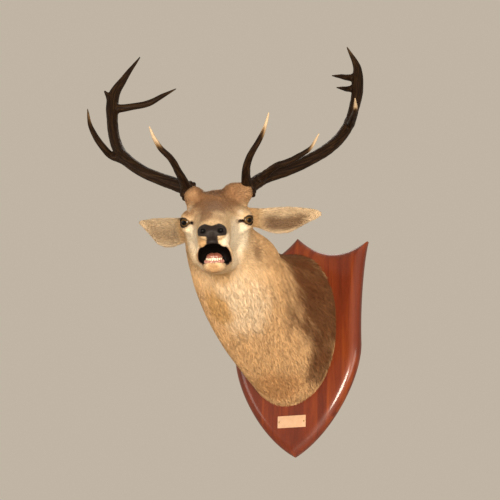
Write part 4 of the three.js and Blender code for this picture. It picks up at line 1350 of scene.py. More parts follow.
class StagCoatSettings(bpy.types.PropertyGroup):
    """Lengths, counts and colours of the coat."""

    neck_length: FloatProperty(
        name="Neck hair", description="Length of a lock on the neck", default=0.040, unit="LENGTH"
    )
    neck_width: FloatProperty(
        name="Neck lock width", description="Widest part of a neck lock", default=0.0019, unit="LENGTH"
    )
    face_length: FloatProperty(
        name="Face hair", description="Length of a tuft on the face", default=0.012, unit="LENGTH"
    )
    face_width: FloatProperty(
        name="Face tuft width", description="Widest part of a face tuft", default=0.0012, unit="LENGTH"
    )
    neck_count: IntProperty(
        name="Neck locks", description="Locks on each fifth of the neck", default=11400, min=100
    )
    face_count: IntProperty(
        name="Face tufts", description="Tufts on each half of the face", default=10800, min=100
    )
    ear_count: IntProperty(
        name="Ear tufts", description="Tufts on each ear", default=4600, min=100
    )
    ground: colour_choice("Neck", "Ground colour of the neck", "#CEA678")
    face: colour_choice("Face", "Ground colour of the face", "#D4B48C")
    pale: colour_choice("Pale", "Pale hair round the eyes, lips and ears", "#F2E0C4")
    brow: colour_choice("Brow", "Warm brown of the forehead", "#98704E")
    straw: colour_choice("Straw", "Yellowish hair of the throat", "#BE9258")
    rust: colour_choice("Rust", "Reddish hair low on the neck", "#B07E4E")
    # brown of the flanks, made dark enough to carry painted shade on the neck's right side
    flank: colour_choice("Flank", "Brown of the neck's sides and top", "#5E381F")
    ear: colour_choice("Ear", "Ground colour of the ears", "#B6966E")
    # darker inside of the ears, deepened with painted shade in their hollows
    ear_hollow: colour_choice("Ear hollow", "Inside of the ears", "#6E4E34")
    pad: colour_choice("Nose pad", "Bare nose", "#1E1613")
    lid: colour_choice("Eyelids", "Bare lids and gland", "#1C120C")
    lip: colour_choice("Lips", "Bare edge of the lips", "#8A5A44")
    # near black: dark skin with painted shade of the deep mouth and nostrils
    mouth: colour_choice("Mouth", "Lining of the mouth", "#080403")


class StagBodySettings(bpy.types.PropertyGroup):
    """Sizes and colours of the hard pieces."""

    skin_pitch: FloatProperty(
        name="Hide mesh", description="Finest spacing of the hide's mesh", default=0.0025, unit="LENGTH"
    )
    antler_pitch: FloatProperty(
        name="Antler mesh", description="Spacing of the antlers' mesh", default=0.0021, unit="LENGTH"
    )
    antler: colour_choice("Antler", "Stained bone", "#22150B")
    antler_dark: colour_choice("Antler grooves", "Bottom of the grooves", "#120A06")
    antler_ridge: colour_choice("Antler ridges", "Rubbed ridges", "#352515")
    antler_tan: colour_choice("Antler worn", "Half worn tips", "#8C6C48")
    antler_tip: colour_choice("Antler tips", "Polished tips", "#BCA486")
    iris: colour_choice("Iris", "Amber of the eye", "#5A4222")
    iris_rim: colour_choice("Iris rim", "Dark edge of the iris", "#1C0E05")
    pupil: colour_choice("Pupil", "Pupil and back of the eye", "#040302")
    tongue: colour_choice("Tongue", "Flesh of the tongue", "#A06650")
    tongue_deep: colour_choice("Tongue shade", "Mottling of the tongue", "#784036")
    gum: colour_choice("Gum", "Gum of the front teeth", "#BE8878")
    tooth: colour_choice("Teeth", "Enamel", "#E0D4BC")
    wood: colour_choice("Wood", "Mahogany", "#66260D")
    wood_dark: colour_choice("Wood dark", "Dark grain", "#461507")
    wood_light: colour_choice("Wood light", "Light grain", "#883E14")
    plate: colour_choice("Plate", "Ivory label plate", "#BE9878")
    pin: colour_choice("Pins", "Brass pins", "#8C7440")
    floor: colour_choice("Floor", "Studio floor", "#DAD7D2")


def coat_palette():
    coat = bpy.context.scene.stag_coat
    names = [n for n in StagCoatSettings.__annotations__ if not n.endswith(("length", "width", "count"))]
    return {name: linear(getattr(coat, name)) for name in names}


def body_colours():
    body = bpy.context.scene.stag_body
    names = [n for n in StagBodySettings.__annotations__ if not n.endswith("pitch")]
    return {name: rgba(getattr(body, name)) for name in names}


def set_piece(thing, slot, *nodes):
    """Sets a piece on the root and hides the solids that it stands for; the slot is not used."""
    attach(thing, "root")
    if nodes:
        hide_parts(*nodes)
    return thing


# The hide's box on X, Y and Z: its ends, the stretch that is fine, and its pitch there, as a share of
# the set pitch. Outside the stretch it grows by STRETCH from step to step, up to HIDE_COARSE.
HIDE_BOX = [(-312, 215, -306, 200, 1.06), (-745, -22, -738, -262, 1), (-195, 326, 62, 318, 1)]
HIDE_COARSE = 2.2
# The hide's mesh, made once.
HIDE = {}


def hide_mesh():
    """The hide's points and quads, made once and kept for the coat."""
    if not HIDE:
        pitch = bpy.context.scene.stag_body.skin_pitch / MM
        ladders = [graded(*ends, fineness * pitch, HIDE_COARSE * pitch) for *ends, fineness in HIDE_BOX]
        points, quads = keep_body(*surface(hide_on_shield, ladders))
        points = settle(points, hide_on_shield, 1.5)
        points[:, 1] = np.minimum(points[:, 1], HIDE_END)
        HIDE.update(points=points, quads=quads)
    return HIDE["points"], HIDE["quads"]


# ------------------------------------------------------------------ pieces
class STAG_OT_hide(bpy.types.Operator):
    """Make the hide as one skin over neck, head, jaw and ears"""

    bl_idname = "stag.hide"
    bl_label = "Hide"

    def execute(self, context):
        points, quads = hide_mesh()
        colour, wet, bare = skin_finish(points, coat_palette())
        thing = mesh_object("hide", points, [quads], hide_material(), colour, {"Wet": wet, "Bare": bare})
        set_piece(
            thing, "coat", "neck", "head", "muzzle", "lower_jaw", "ear_left", "ear_right", "nose_pad"
        )
        return {"FINISHED"}


def coat_plan(roots, coat, rng):
    """Length, width, lift and unruliness of the hair at each root, in millimetres."""
    h = to_head(roots)
    f, _, t = h.T
    neck = np.maximum(smooth(-f, 30, 150), smooth(-t, 104, 160))
    nose = 1 - 0.45 * smooth(f, 0, 190)
    long = mix_number(coat.face_length / MM * nose, coat.neck_length / MM, neck)
    wide = mix_number(coat.face_width / MM * nose, coat.neck_width / MM, neck)
    lift = mix_number(0.9 * nose, 4.2, neck)
    by_board = smooth(roots[:, 1], -85, -40)
    long, lift = long * (1 - 0.35 * by_board), lift + 4.5 * by_board
    tousle = 1 + 1.6 * by_board
    for centre, reach, longer, higher, wilder in TUFTS:
        share = np.exp(-(((h - centre) / reach) ** 2).sum(1))
        long, lift, tousle = long + longer * share, lift + higher * share, tousle + wilder * share
    for ear in EARS.values():
        q, a, _ = ear["local"](h)
        on_ear = smooth(q, 10, 40) * (ear["field"](h, 0) < 9)
        edge = np.maximum(ear["inner"](h), smooth(np.abs(a), 24, 34))
        fringe = on_ear * edge * smooth(ear["length"] - q, 10, 90)
        long = mix_number(long, 10.0, on_ear) + 12 * fringe
        wide = mix_number(wide, 1.2, on_ear)
        lift = mix_number(lift, 1.4, on_ear) + 3.5 * fringe
        tousle = tousle + 1.6 * fringe
    n = len(roots)
    long = long * rng.uniform(0.65, 1.35, n)
    wide = wide * rng.uniform(0.6, 1.4, n)
    lift = lift * rng.uniform(0.4, 0.95, n)
    return long, wide, lift, tousle


def mix_number(a, b, share):
    return a * (1 - share) + b * share


# Places on the head where the hair is longer: centre, reach, added length and lift, unruliness.
TUFTS = [
    ((-84, 26, 84), (34, 38, 34), 9, 4.5, 3.5),
    ((-78, -36, 74), (30, 30, 30), 6, 3.5, 3.0),
    ((-30, 0, 60), (56, 48, 28), 2, 1.6, 2.2),
    ((-70, 76, 74), (26, 26, 28), 7, 3.2, 3.0),
    ((-64, -66, 68), (24, 24, 24), 5, 2.6, 2.5),
    ((196, 0, -100), (30, 26, 16), 4, 1.8, 1.2),
    ((-60, 84, -60), (50, 30, 60), 5, 1.5, 0.8),
    ((-60, -84, -60), (50, 30, 60), 5, 1.5, 0.8),
]
# Where nape and flanks end round the neck, in radians from its top.
NAPE_END, FLANK_END = 0.8, 1.95
# How far from bare skin the hair is full.
BARE_MARGINS = {"pad": 0.8, "lids": 2.0, "gland": 1.5, "mouth": 4.2, "nostril": 2.0}


class STAG_OT_coat(bpy.types.Operator):
    """Grow the locks of the neck and the tufts of face, poll and ears over the hide"""

    bl_idname = "stag.coat"
    bl_label = "Coat"

    def execute(self, context):
        coat = context.scene.stag_coat
        self.coat, self.palette, self.material = coat, coat_palette(), coat_material()
        points, quads = hide_mesh()
        h = to_head(points)
        bare = bare_skin(points)
        haired = np.ones(len(points))
        for key, margin in BARE_MARGINS.items():
            haired *= smooth(bare[key], margin * 0.5, margin)
        haired *= points[:, 1] < ROOT_END
        on_ears = np.zeros(len(points), bool)
        for side, ear in EARS.items():
            q = ear["local"](h)[0]
            on = (q > 14) & (ear["field"](h, 0) < 8)
            self.grow("coat_ear_" + side, haired * on, coat.ear_count, 31)
            on_ears |= on
        neckward = (smooth(-h[:, 0], 48, 100) > 0.5) | (h[:, 2] < -118)
        y = -points[:, 1]
        angle = np.arctan2(points[:, 0] - neck_drift(y), points[:, 2] - neck_middle(y))
        parts = {
            "coat_nape": np.abs(angle) < NAPE_END,
            "coat_flank_right": (angle <= -NAPE_END) & (angle > -FLANK_END),
            "coat_flank_left": (angle >= NAPE_END) & (angle < FLANK_END),
            "coat_throat_right": angle <= -FLANK_END,
            "coat_throat_left": angle >= FLANK_END,
        }
        for k, (name, where) in enumerate(parts.items()):
            self.grow(name, haired * (neckward & ~on_ears & where), coat.neck_count, 40 + k)
        face = ~neckward & ~on_ears
        self.grow("coat_face_left", haired * (face & (h[:, 1] >= 0)), coat.face_count, 50)
        self.grow("coat_face_right", haired * (face & (h[:, 1] < 0)), coat.face_count, 51)
        return {"FINISHED"}

    def grow(self, name, chance, count, seed):
        """One coat piece: locks rooted where the hide's points have a chance above nothing."""
        rng = np.random.default_rng(SEED + seed)
        points, quads = hide_mesh()
        count = count
        roots = roots_on(points, quads, chance, count, rng)
        plan = coat_plan(roots, self.coat, rng)
        verts, faces, colour, share, place = grow_locks(roots, *plan, self.palette, rng)
        thing = mesh_object(name, verts, faces, self.material, colour, {"Along": share}, place)
        set_piece(thing, "coat")


class STAG_OT_antlers(bpy.types.Operator):
    """Make both antlers, each as one grown piece with burr, beam and tines"""

    bl_idname = "stag.antlers"
    bl_label = "Antlers"

    def execute(self, context):
        pitch = context.scene.stag_body.antler_pitch / MM
        material = antler_material(body_colours())
        every = sorted(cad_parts)
        for side, branches in (("right", RIGHT_ANTLER), ("left", LEFT_ANTLER)):
            field, grain, low, high = antler(branches, BURRS[side])
            ladders = [np.arange(a, b, pitch) for a, b in zip(low, high)]
            points, quads = keep_body(*surface(field, ladders))
            points = settle(points, field, 1.0)
            coords, worn = grain(points)
            thing = mesh_object("antler_" + side, points, [quads], material, None, {"Worn": worn})
            layer = thing.data.attributes.new("Grain", "FLOAT_VECTOR", "POINT")
            layer.data.foreach_set("vector", coords.astype(np.float32).ravel())
            nodes = [n for n in every if n.startswith(f"antler_{side}_")]
            set_piece(thing, "antler", *nodes)
        return {"FINISHED"}


# Rings from the front pole of the glass eye to its back, points round each, and its bulging front.
BALL_RINGS, BALL_SPOKES = 40, 48
FRONT_BULGE, FRONT_REACH = 0.9, 0.55
# Lashes: first and last place along the lid and their number; how they rise and fan; radius and
# length in metres.
LASH_ROW = (-13, 11, 17)
LASH_ROOT_RADIUS, LASH_RISE, LASH_SPREAD = 20.0, 0.35, 0.03
LASH_SIZE = (0.00028, 0.0055)


def eye_ball():
    """Places of a glass eye about its centre, along, up and outward, with its quads and the two caps."""
    polar = np.linspace(0, pi, BALL_RINGS + 1)[1:-1]
    spin = np.arange(BALL_SPOKES) * tau / BALL_SPOKES
    radius = EYE_RADIUS + FRONT_BULGE * np.exp(-((polar / FRONT_REACH) ** 2))
    far, high = (radius * np.sin(polar))[:, None], (radius * np.cos(polar))[:, None]
    rings = [far * np.cos(spin), far * np.sin(spin), np.repeat(high, BALL_SPOKES, 1)]
    poles = [[0, 0, EYE_RADIUS + FRONT_BULGE], [0, 0, -EYE_RADIUS]]
    local = np.vstack([np.stack(rings, -1).reshape(-1, 3), *poles])
    ring = np.arange(BALL_SPOKES)
    step = np.roll(ring, -1) - ring
    base = np.arange(BALL_RINGS - 2)[:, None] * BALL_SPOKES + ring
    corners = [base, base + BALL_SPOKES, base + BALL_SPOKES + step, base + step]
    quads = np.stack(corners, -1).reshape(-1, 4)
    front, back = len(local) - 2, len(local) - 1
    last = ring + (BALL_RINGS - 2) * BALL_SPOKES
    caps = [
        np.column_stack([np.full(BALL_SPOKES, front), ring, ring + step]),
        np.column_stack([last, np.full(BALL_SPOKES, back), last + step]),
    ]
    return local, [quads, *caps]


class STAG_OT_eyes(bpy.types.Operator):
    """Make the two glass eyes and their lashes"""

    bl_idname = "stag.eyes"
    bl_label = "Eyes"

    def execute(self, context):
        colours = body_colours()
        material = eye_material(colours)
        lash = plain_material("dark_lash", rgba("#120C08"), 0.6)
        local, faces = eye_ball()
        for side, sign in (("left", 1), ("right", -1)):
            out = np.array([cos(EYE_OUTWARD), sign * sin(EYE_OUTWARD), 0.0])
            along = np.array([sin(EYE_OUTWARD), -sign * cos(EYE_OUTWARD), 0.0])
            up = np.array([0, 0, 1.0])
            centre = EYE_CENTRE * [1, sign, 1]
            spots = from_head(centre + local @ np.stack([along, up, out]))
            turned = faces if sign > 0 else [f[:, ::-1] for f in faces]
            thing = mesh_object("glass_eye_" + side, spots, turned, material)
            layer = thing.data.attributes.new("Gaze", "FLOAT_VECTOR", "POINT")
            shown = local * MM
            # the right pupil looks a little aside; the back of the ball is all pupil
            shown[:, 0] -= 0.003 if side == "right" else 0.0
            shown[local[:, 2] < 0, :2] = 0.02
            layer.data.foreach_set("vector", shown.astype(np.float32).ravel())
            set_piece(thing, "eye", "eye_" + side)
            self.lashes(side, centre, along, up, out, lash)
        return {"FINISHED"}

    def lashes(self, side, centre, along, up, out, material):
        """A row of lashes on the upper lid, set along its edge."""
        a = np.linspace(*LASH_ROW)
        b = (SLIT_HIGH + 1.2) * slit_bow(a) + SLIT_TILT * a + 0.6
        c = np.sqrt(np.maximum(LASH_ROOT_RADIUS**2 - a**2 - b**2, 16))
        spots = centre + np.outer(a, along) + np.outer(b, up) + np.outer(c, out)
        fan = out + LASH_RISE * up + np.outer(a * LASH_SPREAD, along)
        row = bpy.data.meshes.new("lash_row")
        row.from_pydata([tuple(p) for p in from_head(spots) * MM], [], [])
        layer = row.attributes.new("Point", "FLOAT_VECTOR", "POINT")
        layer.data.foreach_set("vector", (unit(fan) @ HEAD_AXES.T).astype(np.float32).ravel())
        carrier = bpy.data.objects.new("lash_row", row)
        bpy.context.scene.collection.objects.link(carrier)
        thing = repeat_along(carrier, "lashes_" + side, "cone", LASH_SIZE, material)
        set_piece(thing, "eye")


def repeat_along(carrier, name, form, size, material):
    """Geometry Nodes: one small form on every point of the carrier, standing along its Point attribute."""
    tree = bpy.data.node_groups.new("repeat_" + name, "GeometryNodeTree")
    face = tree.interface
    face.new_socket("Geometry", in_out="INPUT", socket_type="NodeSocketGeometry")
    face.new_socket("Radius", in_out="INPUT", socket_type="NodeSocketFloat")
    face.new_socket("Length", in_out="INPUT", socket_type="NodeSocketFloat")
    face.new_socket("Geometry", in_out="OUTPUT", socket_type="NodeSocketGeometry")
    start = add(tree, "NodeGroupInput").outputs
    if form == "cone":
        ends = {"Radius Top": 0.00025, "Radius Bottom": start["Radius"]}
        shape = add(
            tree, "GeometryNodeMeshCone", {"Vertices": 5, **ends, "Depth": start["Length"]}
        ).outputs["Mesh"]
    else:
        ball = add(
            tree, "GeometryNodeMeshUVSphere", {"Segments": 20, "Rings": 10, "Radius": start["Radius"]}
        ).outputs["Mesh"]
        flat = add(tree, "ShaderNodeCombineXYZ", {"X": 1.0, "Y": 1.0}).outputs[0]
        tree.links.new(start["Length"], flat.node.inputs["Z"])
        shape = add(tree, "GeometryNodeTransform", {"Geometry": ball, "Scale": flat}).outputs["Geometry"]
    point = add(
        tree, "GeometryNodeInputNamedAttribute", {"Name": "Point"}, data_type="FLOAT_VECTOR"
    ).outputs["Attribute"]
    turn = add(tree, "FunctionNodeAlignRotationToVector", {"Vector": point}, axis="Z").outputs[0]
    placed = add(
        tree,
        "GeometryNodeInstanceOnPoints",
        {"Points": start["Geometry"], "Instance": shape, "Rotation": turn},
    ).outputs[0]
    real = add(tree, "GeometryNodeRealizeInstances", {"Geometry": placed}).outputs[0]
    smoothed = add(tree, "GeometryNodeSetShadeSmooth", {"Geometry": real}).outputs[0]
    done = add(tree, "GeometryNodeSetMaterial", {"Geometry": smoothed, "Material": material}).outputs[0]
    add(tree, "NodeGroupOutput", {"Geometry": done})
    modifier = carrier.modifiers.new("repeat", "NODES")
    modifier.node_group = tree
    for item in face.items_tree:
        if item.in_out == "INPUT" and item.name in ("Radius", "Length"):
            modifier[item.identifier] = size[0] if item.name == "Radius" else size[1]
    bpy.context.view_layer.update()
    evaluated = carrier.evaluated_get(bpy.context.evaluated_depsgraph_get())
    mesh = bpy.data.meshes.new_from_object(evaluated)
    mesh.name = name
    bpy.data.objects.remove(carrier)
    thing = bpy.data.objects.new(name, mesh)
    bpy.context.scene.collection.objects.link(thing)
    return thing


# The tongue, as the upper head's table: forward, half width, top, widest height, bottom.
TONGUE = [
    [95, 8, -86, -90, -95],
    [112, 13, -80, -87, -95],
    [130, 15.5, -74, -83, -94],
    [150, 18, -66, -78, -92],
    [172, 20.5, -57, -72, -88],
    [185, 20, -55, -68, -82],
    [194, 16, -58, -66, -77],
    [200, 9, -61, -66, -72],
]
# The gum's line round the front of the jaw.
GUM = [(189 + 18 * cos(a), 19 * sin(a), -76) for a in np.radians(np.linspace(-76, 76, 11))]
# The front teeth: how many, the arc they stand on in degrees, rings up each and sides round it.
TOOTH_COUNT, TOOTH_ARC = 8, 120
TOOTH_RINGS, TOOTH_SIDES = 8, 12


class STAG_OT_mouth(bpy.types.Operator):
    """Make the tongue, the gum and the eight front teeth of the lower jaw"""

    bl_idname = "stag.mouth"
    bl_label = "Mouth"

    def execute(self, context):
        colours = body_colours()
        flesh = sections(TONGUE, 2.2)

        def tongue(points):
            f, s, t = to_head(points).T
            groove = 1.6 * np.exp(-((s / 2.6) ** 2)) * smooth(t, -75, -60)
            return flesh(f, s, t) + 1.0 + groove

        def gum(points):
            h = to_head(points)
            ridge = 0.5 * np.cos(np.arctan2(h[:, 1], h[:, 0] - 189) * 21) * smooth(h[:, 2], -80, -74)
            return strand(h, GUM, [5.6] * len(GUM)) - ridge

        for name, field, hue, deep, nodes in (
            ("tongue_piece", tongue, "tongue", "tongue_deep", ("tongue",)),
            ("gum_piece", gum, "gum", "tongue_deep", ()),
        ):
            middle = from_head([150 if nodes else 196, 0, -76])
            reach = [70, 90, 70] if nodes else [42, 42, 34]
            ladders = [np.arange(m - r, m + r, 1.6) for m, r in zip(middle, reach)]
            points, quads = keep_body(*surface(field, ladders))
            points = settle(points, field, 1.0)
            material = wet_material("wet_" + name, colours[hue], colours[deep], 240.0, 0.35)
            thing = mesh_object(name, points, [quads], material)
            set_piece(thing, "tongue", *nodes)
        self.teeth(colours)
        return {"FINISHED"}

    def teeth(self, colours):
        """Eight spade-shaped incisors set round the gum, the middle pair widest."""
        enamel, out = shader("tooth_enamel", Roughness=0.22, Coat_Weight=0.5, Coat_Roughness=0.1)
        tree = enamel.node_tree
        place = add(tree, PLACES).outputs["Object"]
        stain = add(tree, NOISE, {"Vector": place, "Scale": 260.0}).outputs["Fac"]
        shade = add(
            tree, RAMP, {"Fac": stain},
            stops=[(0.3, rgba("#CDBE9C")), (0.6, colours["tooth"])],
        ).outputs["Color"]
        tree.links.new(shade, out.inputs["Base Color"])
        spots, quads, caps = [], [], []
        spin = np.arange(TOOTH_SIDES) * tau / TOOTH_SIDES
        ring = np.arange(TOOTH_SIDES)
        strip = np.column_stack([ring, np.roll(ring, -1)])
        strip = np.column_stack([strip, strip[:, ::-1] + TOOTH_SIDES])
        for k in range(TOOTH_COUNT):
            a = radians(-TOOTH_ARC / 2 + TOOTH_ARC * k / (TOOTH_COUNT - 1))
            middle = 1 - abs(k - 3.5) / 3.5
            wide, high = 2.1 + 0.8 * middle, 5.8 + 1.3 * middle
            root = np.array([190.5 + 18.5 * cos(a), 19.5 * sin(a), -72.5])
            face = np.array([cos(a), sin(a), 0.0])
            across = np.array([-sin(a), cos(a), 0.0])
            base = len(spots) * TOOTH_SIDES
            for u in np.linspace(0, 1, TOOTH_RINGS):
                w = wide * (0.66 + 0.42 * sin(u * 2.0)) * (1 - 0.5 * smooth(u, 0.8, 1.0))
                d = 1.5 * (1 - 0.55 * u) * (1 - 0.4 * smooth(u, 0.86, 1.0))
                at = root + face * (1.5 * u * u) + np.array([0, 0, high * u])
                spots.append(at + np.outer(np.cos(spin) * w, across) + np.outer(np.sin(spin) * d, face))
            quads += [strip + base + TOOTH_SIDES * i for i in range(TOOTH_RINGS - 1)]
            caps.append(base + TOOTH_SIDES * (TOOTH_RINGS - 1) + ring)
            caps.append(base + ring[::-1])
        points = from_head(np.concatenate(spots))
        thing = mesh_object("incisors", points, [np.vstack(quads), np.vstack(caps)], enamel)
        set_piece(thing, "tooth", "front_teeth")


# Edge of the shield: how far in from its outline, how far out from the wall; a plain round-over.
MOULDING = [
    (0, 0), (0, 8.5), (0.25, 10.6), (0.9, 12.8), (2.0, 15.1), (3.6, 17.4), (5.7, 19.6),
    (8.2, 21.6), (11.0, 23.4), (14.2, 25.0), (17.6, 26.3), (21.0, 27.2), (24.2, 27.75), (27, 28), (31, 28),
]  # fmt: skip


def bezier(*knots):
    """Points along a curve of two, three or four knots."""
    u = np.linspace(0, 1, 120)[:, None]
    points = [np.array(k, float) + 0 * u for k in knots]
    while len(points) > 1:
        points = [a * (1 - u) + b * u for a, b in zip(points[:-1], points[1:])]
    return points[0]


# The shield's right half: the scooped top, then the side down to the tip.
SHIELD_TOP = bezier((0, 331.5), (106, 224), (219, 293))
SHIELD_SIDE = np.vstack(
    [
        bezier((219, 293), (203, 235), (192, 100), (195, 0))[:-1],
        bezier((195, 0), (197, -95), (110, -250), (0, -308.5)),
    ]
)


def moved_in(line, d):
    """A line moved to its right by d and run on past its ends."""
    way = unit(np.gradient(line, axis=0))
    line = line + np.column_stack([way[:, 1], -way[:, 0]]) * d
    return np.vstack([line[0] - way[0] * 60, line, line[-1] + way[-1] * 60])


def crossing(a, b):
    """Where two lines first cross, as places along each."""
    p, r = a[:-1, None], np.diff(a, axis=0)[:, None]
    q, s = b[None, :-1], np.diff(b, axis=0)[None]
    turn = r[..., 0] * s[..., 1] - r[..., 1] * s[..., 0]
    turn = np.where(np.abs(turn) < 1e-9, 1e-9, turn)
    gap = q - p
    u = (gap[..., 0] * s[..., 1] - gap[..., 1] * s[..., 0]) / turn
    w = (gap[..., 0] * r[..., 1] - gap[..., 1] * r[..., 0]) / turn
    i, j = np.argwhere((u >= 0) & (u <= 1) & (w >= 0) & (w <= 1))[0]
    return i + u[i, j], j + w[i, j]


def part_of(line, start, end, count):
    """Evenly spaced points along a line between two places on it."""
    index = np.arange(len(line))
    inner = index[(index > start) & (index < end)]
    places = np.r_[start, inner, end]
    spots = np.column_stack([np.interp(places, index, line[:, k]) for k in (0, 1)])
    run = np.r_[0, np.cumsum(np.linalg.norm(np.diff(spots, axis=0), axis=1))]
    even = np.linspace(0, run[-1], count)
    return np.column_stack([np.interp(even, run, spots[:, k]) for k in (0, 1)])


def shield_ring(d):
    """Outline moved in by d with true mitres, from the peak down the right side and back up the left."""
    top, side = moved_in(SHIELD_TOP, d), moved_in(SHIELD_SIDE, d)
    middle = np.array([[0.0, 400.0], [0.0, -400.0]])
    peak = crossing(top, middle)[0]
    out_of_top, into_side = crossing(top, side)
    tip = crossing(side, middle)[0]
    right = np.vstack([part_of(top, peak, out_of_top, 40)[:-1], part_of(side, into_side, tip, 110)])
    return np.vstack([right, right[1:-1][::-1] * [-1, 1]])


class STAG_OT_shield(bpy.types.Operator):
    """Make the moulded wooden shield"""

    bl_idname = "stag.shield"
    bl_label = "Shield"

    def execute(self, context):
        spots = []
        for d, y in MOULDING:
            ring = shield_ring(d)
            spots.append(np.column_stack([ring[:, 0], np.full(len(ring), -y), ring[:, 1]]))
        n = len(ring)
        points = np.vstack(spots)
        ring = np.arange(n)
        beyond = np.roll(ring, -1)
        strip = np.column_stack([ring, n + ring, n + beyond, beyond])
        last = len(MOULDING) - 1
        faces = [np.vstack([strip + k * n for k in range(last)]), ring[None], (last * n + ring)[None, ::-1]]
        thing = mesh_object("shield_board", points, faces, wood_material(body_colours()))
        thing.data.set_sharp_from_angle(angle=radians(30))
        set_piece(thing, "shield_wood", "shield")
        return {"FINISHED"}


# The label plate: width, height, thickness, radius of its corners and the middle of its back.
PLATE_WIDE, PLATE_HIGH, PLATE_THICK, PLATE_CORNER = 85.0, 33.0, 1.6, 1.2
PLATE_CENTRE = np.array([-1.0, -28.3, -214.0])
# Its softened edge: how far in from the outline, how far out from the back.
PLATE_EDGE = [(0, 0), (0, PLATE_THICK - 0.35), (0.12, PLATE_THICK - 0.1), (0.4, PLATE_THICK)]
# Pins: distance in from the plate's ends, radius in metres and flatness of the heads.
PIN_INSET, PIN_SIZE = 5, (0.0021, 0.45)


class STAG_OT_plate(bpy.types.Operator):
    """Make the bare label plate and its two pins"""

    bl_idname = "stag.plate"
    bl_label = "Label plate"

    def execute(self, context):
        colours = body_colours()
        half = np.array([PLATE_WIDE / 2, PLATE_HIGH / 2])
        ivory = plain_material("ivory_plate", colours["plate"], 0.42, spread=0.06, scale=120.0)
        rounds = np.arange(5) * (pi / 2) / 4
        corner = np.array([(cos(a), sin(a)) for a in rounds])
        outline = []
        for k, (x, z) in enumerate(((1, 1), (-1, 1), (-1, -1), (1, -1))):
            c, s = cos(k * pi / 2), sin(k * pi / 2)
            turned = corner @ np.array([[c, s], [-s, c]])
            outline.append(turned * PLATE_CORNER + (half - PLATE_CORNER) * [x, z])
        outline = np.vstack(outline)
        n = len(outline)
        spots = []
        for shrink, y in PLATE_EDGE:
            ring = outline * (1 - shrink / half)
            spots.append(np.column_stack([ring[:, 0], np.full(n, -y), ring[:, 1]]) + PLATE_CENTRE)
        ring = np.arange(n)
        beyond = np.roll(ring, -1)
        strip = np.column_stack([ring, beyond, n + beyond, n + ring])
        last = len(PLATE_EDGE) - 1
        quads = [strip + k * n for k in range(last)]
        ends = [ring[None, ::-1], (last * n + ring)[None]]
        thing = mesh_object("ivory_label", np.vstack(spots), [np.vstack(quads), *ends], ivory)
        thing.data.set_sharp_from_angle(angle=radians(40))
        set_piece(thing, "plate", "label_plate")
        row = bpy.data.meshes.new("pin_row")
        aside = np.array([half[0] - PIN_INSET, 0, 0])
        front = PLATE_CENTRE - [0, PLATE_THICK, 0]
        row.from_pydata([tuple((front + s * aside) * MM) for s in (-1, 1)], [], [])
        layer = row.attributes.new("Point", "FLOAT_VECTOR", "POINT")
        layer.data.foreach_set("vector", [0.0, -1.0, 0.0] * 2)
        carrier = bpy.data.objects.new("pin_row", row)
        context.scene.collection.objects.link(carrier)
        brass = plain_material("brass_pin", colours["pin"], 0.35, metallic=1.0)
        pins = repeat_along(carrier, "label_pins", "dome", PIN_SIZE, brass)
        set_piece(pins, "plate")
        return {"FINISHED"}


# ------------------------------------------------------------------ stage
FLOOR_Z, FLOOR_HALF = -1.7, 9
SENSOR_WIDTH = 36
# Focal length in pixels and width of the picture that the framing is worked out from.
FOCAL_PIXELS, PICTURE_PIXELS = 1010, 500
CAMERA_AT = Vector((1.188665, -2.545172, -0.726270))
CAMERA_YAW, CAMERA_PITCH, CAMERA_ROLL = radians(28), radians(20), radians(1.95)
# Lamps: name, place, what it looks at, size, watts and tint.
LAMPS = [
    ("key", (1.45, -3.05, -0.7), (0, -0.35, 0.05), 1.0, 139, (1.0, 0.90, 0.76)),
    ("side", (2.4, -1.7, -0.3), (0.1, -0.4, 0.1), 1.2, 24, (1.0, 0.92, 0.80)),
    ("fill", (-2.2, -2.2, 0.4), (0, -0.3, 0.1), 1.2, 16, (1.0, 0.93, 0.84)),
    ("rim", (-0.6, 0.9, 2.4), (0, -0.3, 0.2), 1.2, 13, (1.0, 0.95, 0.88)),
]


def lamp(name, place, target, size, power, tint):
    light = bpy.data.lights.new(name, "AREA")
    light.shape = "DISK"
    light.size = size
    light.energy = power
    light.color = tint
    thing = bpy.data.objects.new(name, light)
    thing.location = place
    thing.rotation_euler = (Vector(target) - Vector(place)).to_track_quat("-Z", "Y").to_euler()
    bpy.context.scene.collection.objects.link(thing)


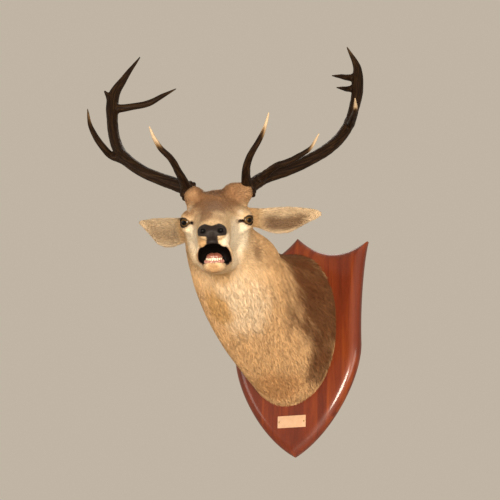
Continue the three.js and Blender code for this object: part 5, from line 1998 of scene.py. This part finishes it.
class STAG_OT_stage(bpy.types.Operator):
    """Set the floor, the studio light and the camera"""

    bl_idname = "stag.stage"
    bl_label = "Stage"

    def execute(self, context):
        scene = context.scene
        mesh = bpy.data.meshes.new("floor")
        turns = ((-1, -1), (1, -1), (1, 1), (-1, 1))
        corners = [(x * FLOOR_HALF, y * FLOOR_HALF, FLOOR_Z) for x, y in turns]
        mesh.from_pydata(corners, [], [(0, 1, 2, 3)])
        floor = bpy.data.objects.new("floor", mesh)
        scene.collection.objects.link(floor)
        paint = plain_material("studio_floor", body_colours()["floor"], 0.85, spread=0.02, scale=3.0)
        mesh.materials.append(paint)

        world = bpy.data.worlds.new("studio")
        world.use_nodes = True
        background = world.node_tree.nodes["Background"].inputs
        background["Color"].default_value = rgba("#EEE0CC")
        background["Strength"].default_value = 0.62
        scene.world = world
        for light in LAMPS:
            lamp(*light)
        scene.view_settings.view_transform = "Standard"

        yaw, pitch, roll = CAMERA_YAW, CAMERA_PITCH, CAMERA_ROLL
        ahead = Vector((-sin(yaw) * cos(pitch), cos(yaw) * cos(pitch), sin(pitch)))
        right = Vector((cos(yaw), sin(yaw), 0))
        above = right.cross(ahead)
        right, above = (right * cos(roll) + above * sin(roll), above * cos(roll) - right * sin(roll))
        lens = bpy.data.cameras.new("camera")
        lens.sensor_width = SENSOR_WIDTH
        lens.lens = SENSOR_WIDTH * FOCAL_PIXELS / PICTURE_PIXELS
        camera = bpy.data.objects.new("camera", lens)
        turn = Matrix((right, above, -ahead)).transposed()
        camera.matrix_world = Matrix.Translation(CAMERA_AT) @ turn.to_4x4()
        scene.collection.objects.link(camera)
        scene.camera = camera
        return {"FINISHED"}


OPERATORS = (
    STAG_OT_stage,
    STAG_OT_shield,
    STAG_OT_plate,
    STAG_OT_hide,
    STAG_OT_coat,
    STAG_OT_eyes,
    STAG_OT_mouth,
    STAG_OT_antlers,
)


class STAG_PT_mount(bpy.types.Panel):
    """Lists the mount's settings and pieces"""

    bl_label = "Stag mount"
    bl_idname = "STAG_PT_mount"
    bl_space_type = "VIEW_3D"
    bl_region_type = "UI"
    bl_category = "Stag mount"

    def draw(self, context):
        for group in (context.scene.stag_coat, context.scene.stag_body):
            box = self.layout.box()
            for name in group.__annotations__:
                box.prop(group, name)
        for operator in OPERATORS:
            self.layout.operator(operator.bl_idname)


CLASSES = (StagCoatSettings, StagBodySettings, *OPERATORS, STAG_PT_mount)


def register():
    for one in CLASSES:
        bpy.utils.register_class(one)
    bpy.types.Scene.stag_coat = PointerProperty(type=StagCoatSettings)
    bpy.types.Scene.stag_body = PointerProperty(type=StagBodySettings)


def unregister():
    del bpy.types.Scene.stag_body
    del bpy.types.Scene.stag_coat
    for one in reversed(CLASSES):
        bpy.utils.unregister_class(one)


def main():
    register()
    for operator in OPERATORS:
        group, name = operator.bl_idname.split(".")
        getattr(getattr(bpy.ops, group), name)()


if __name__ == "__main__":
    main()
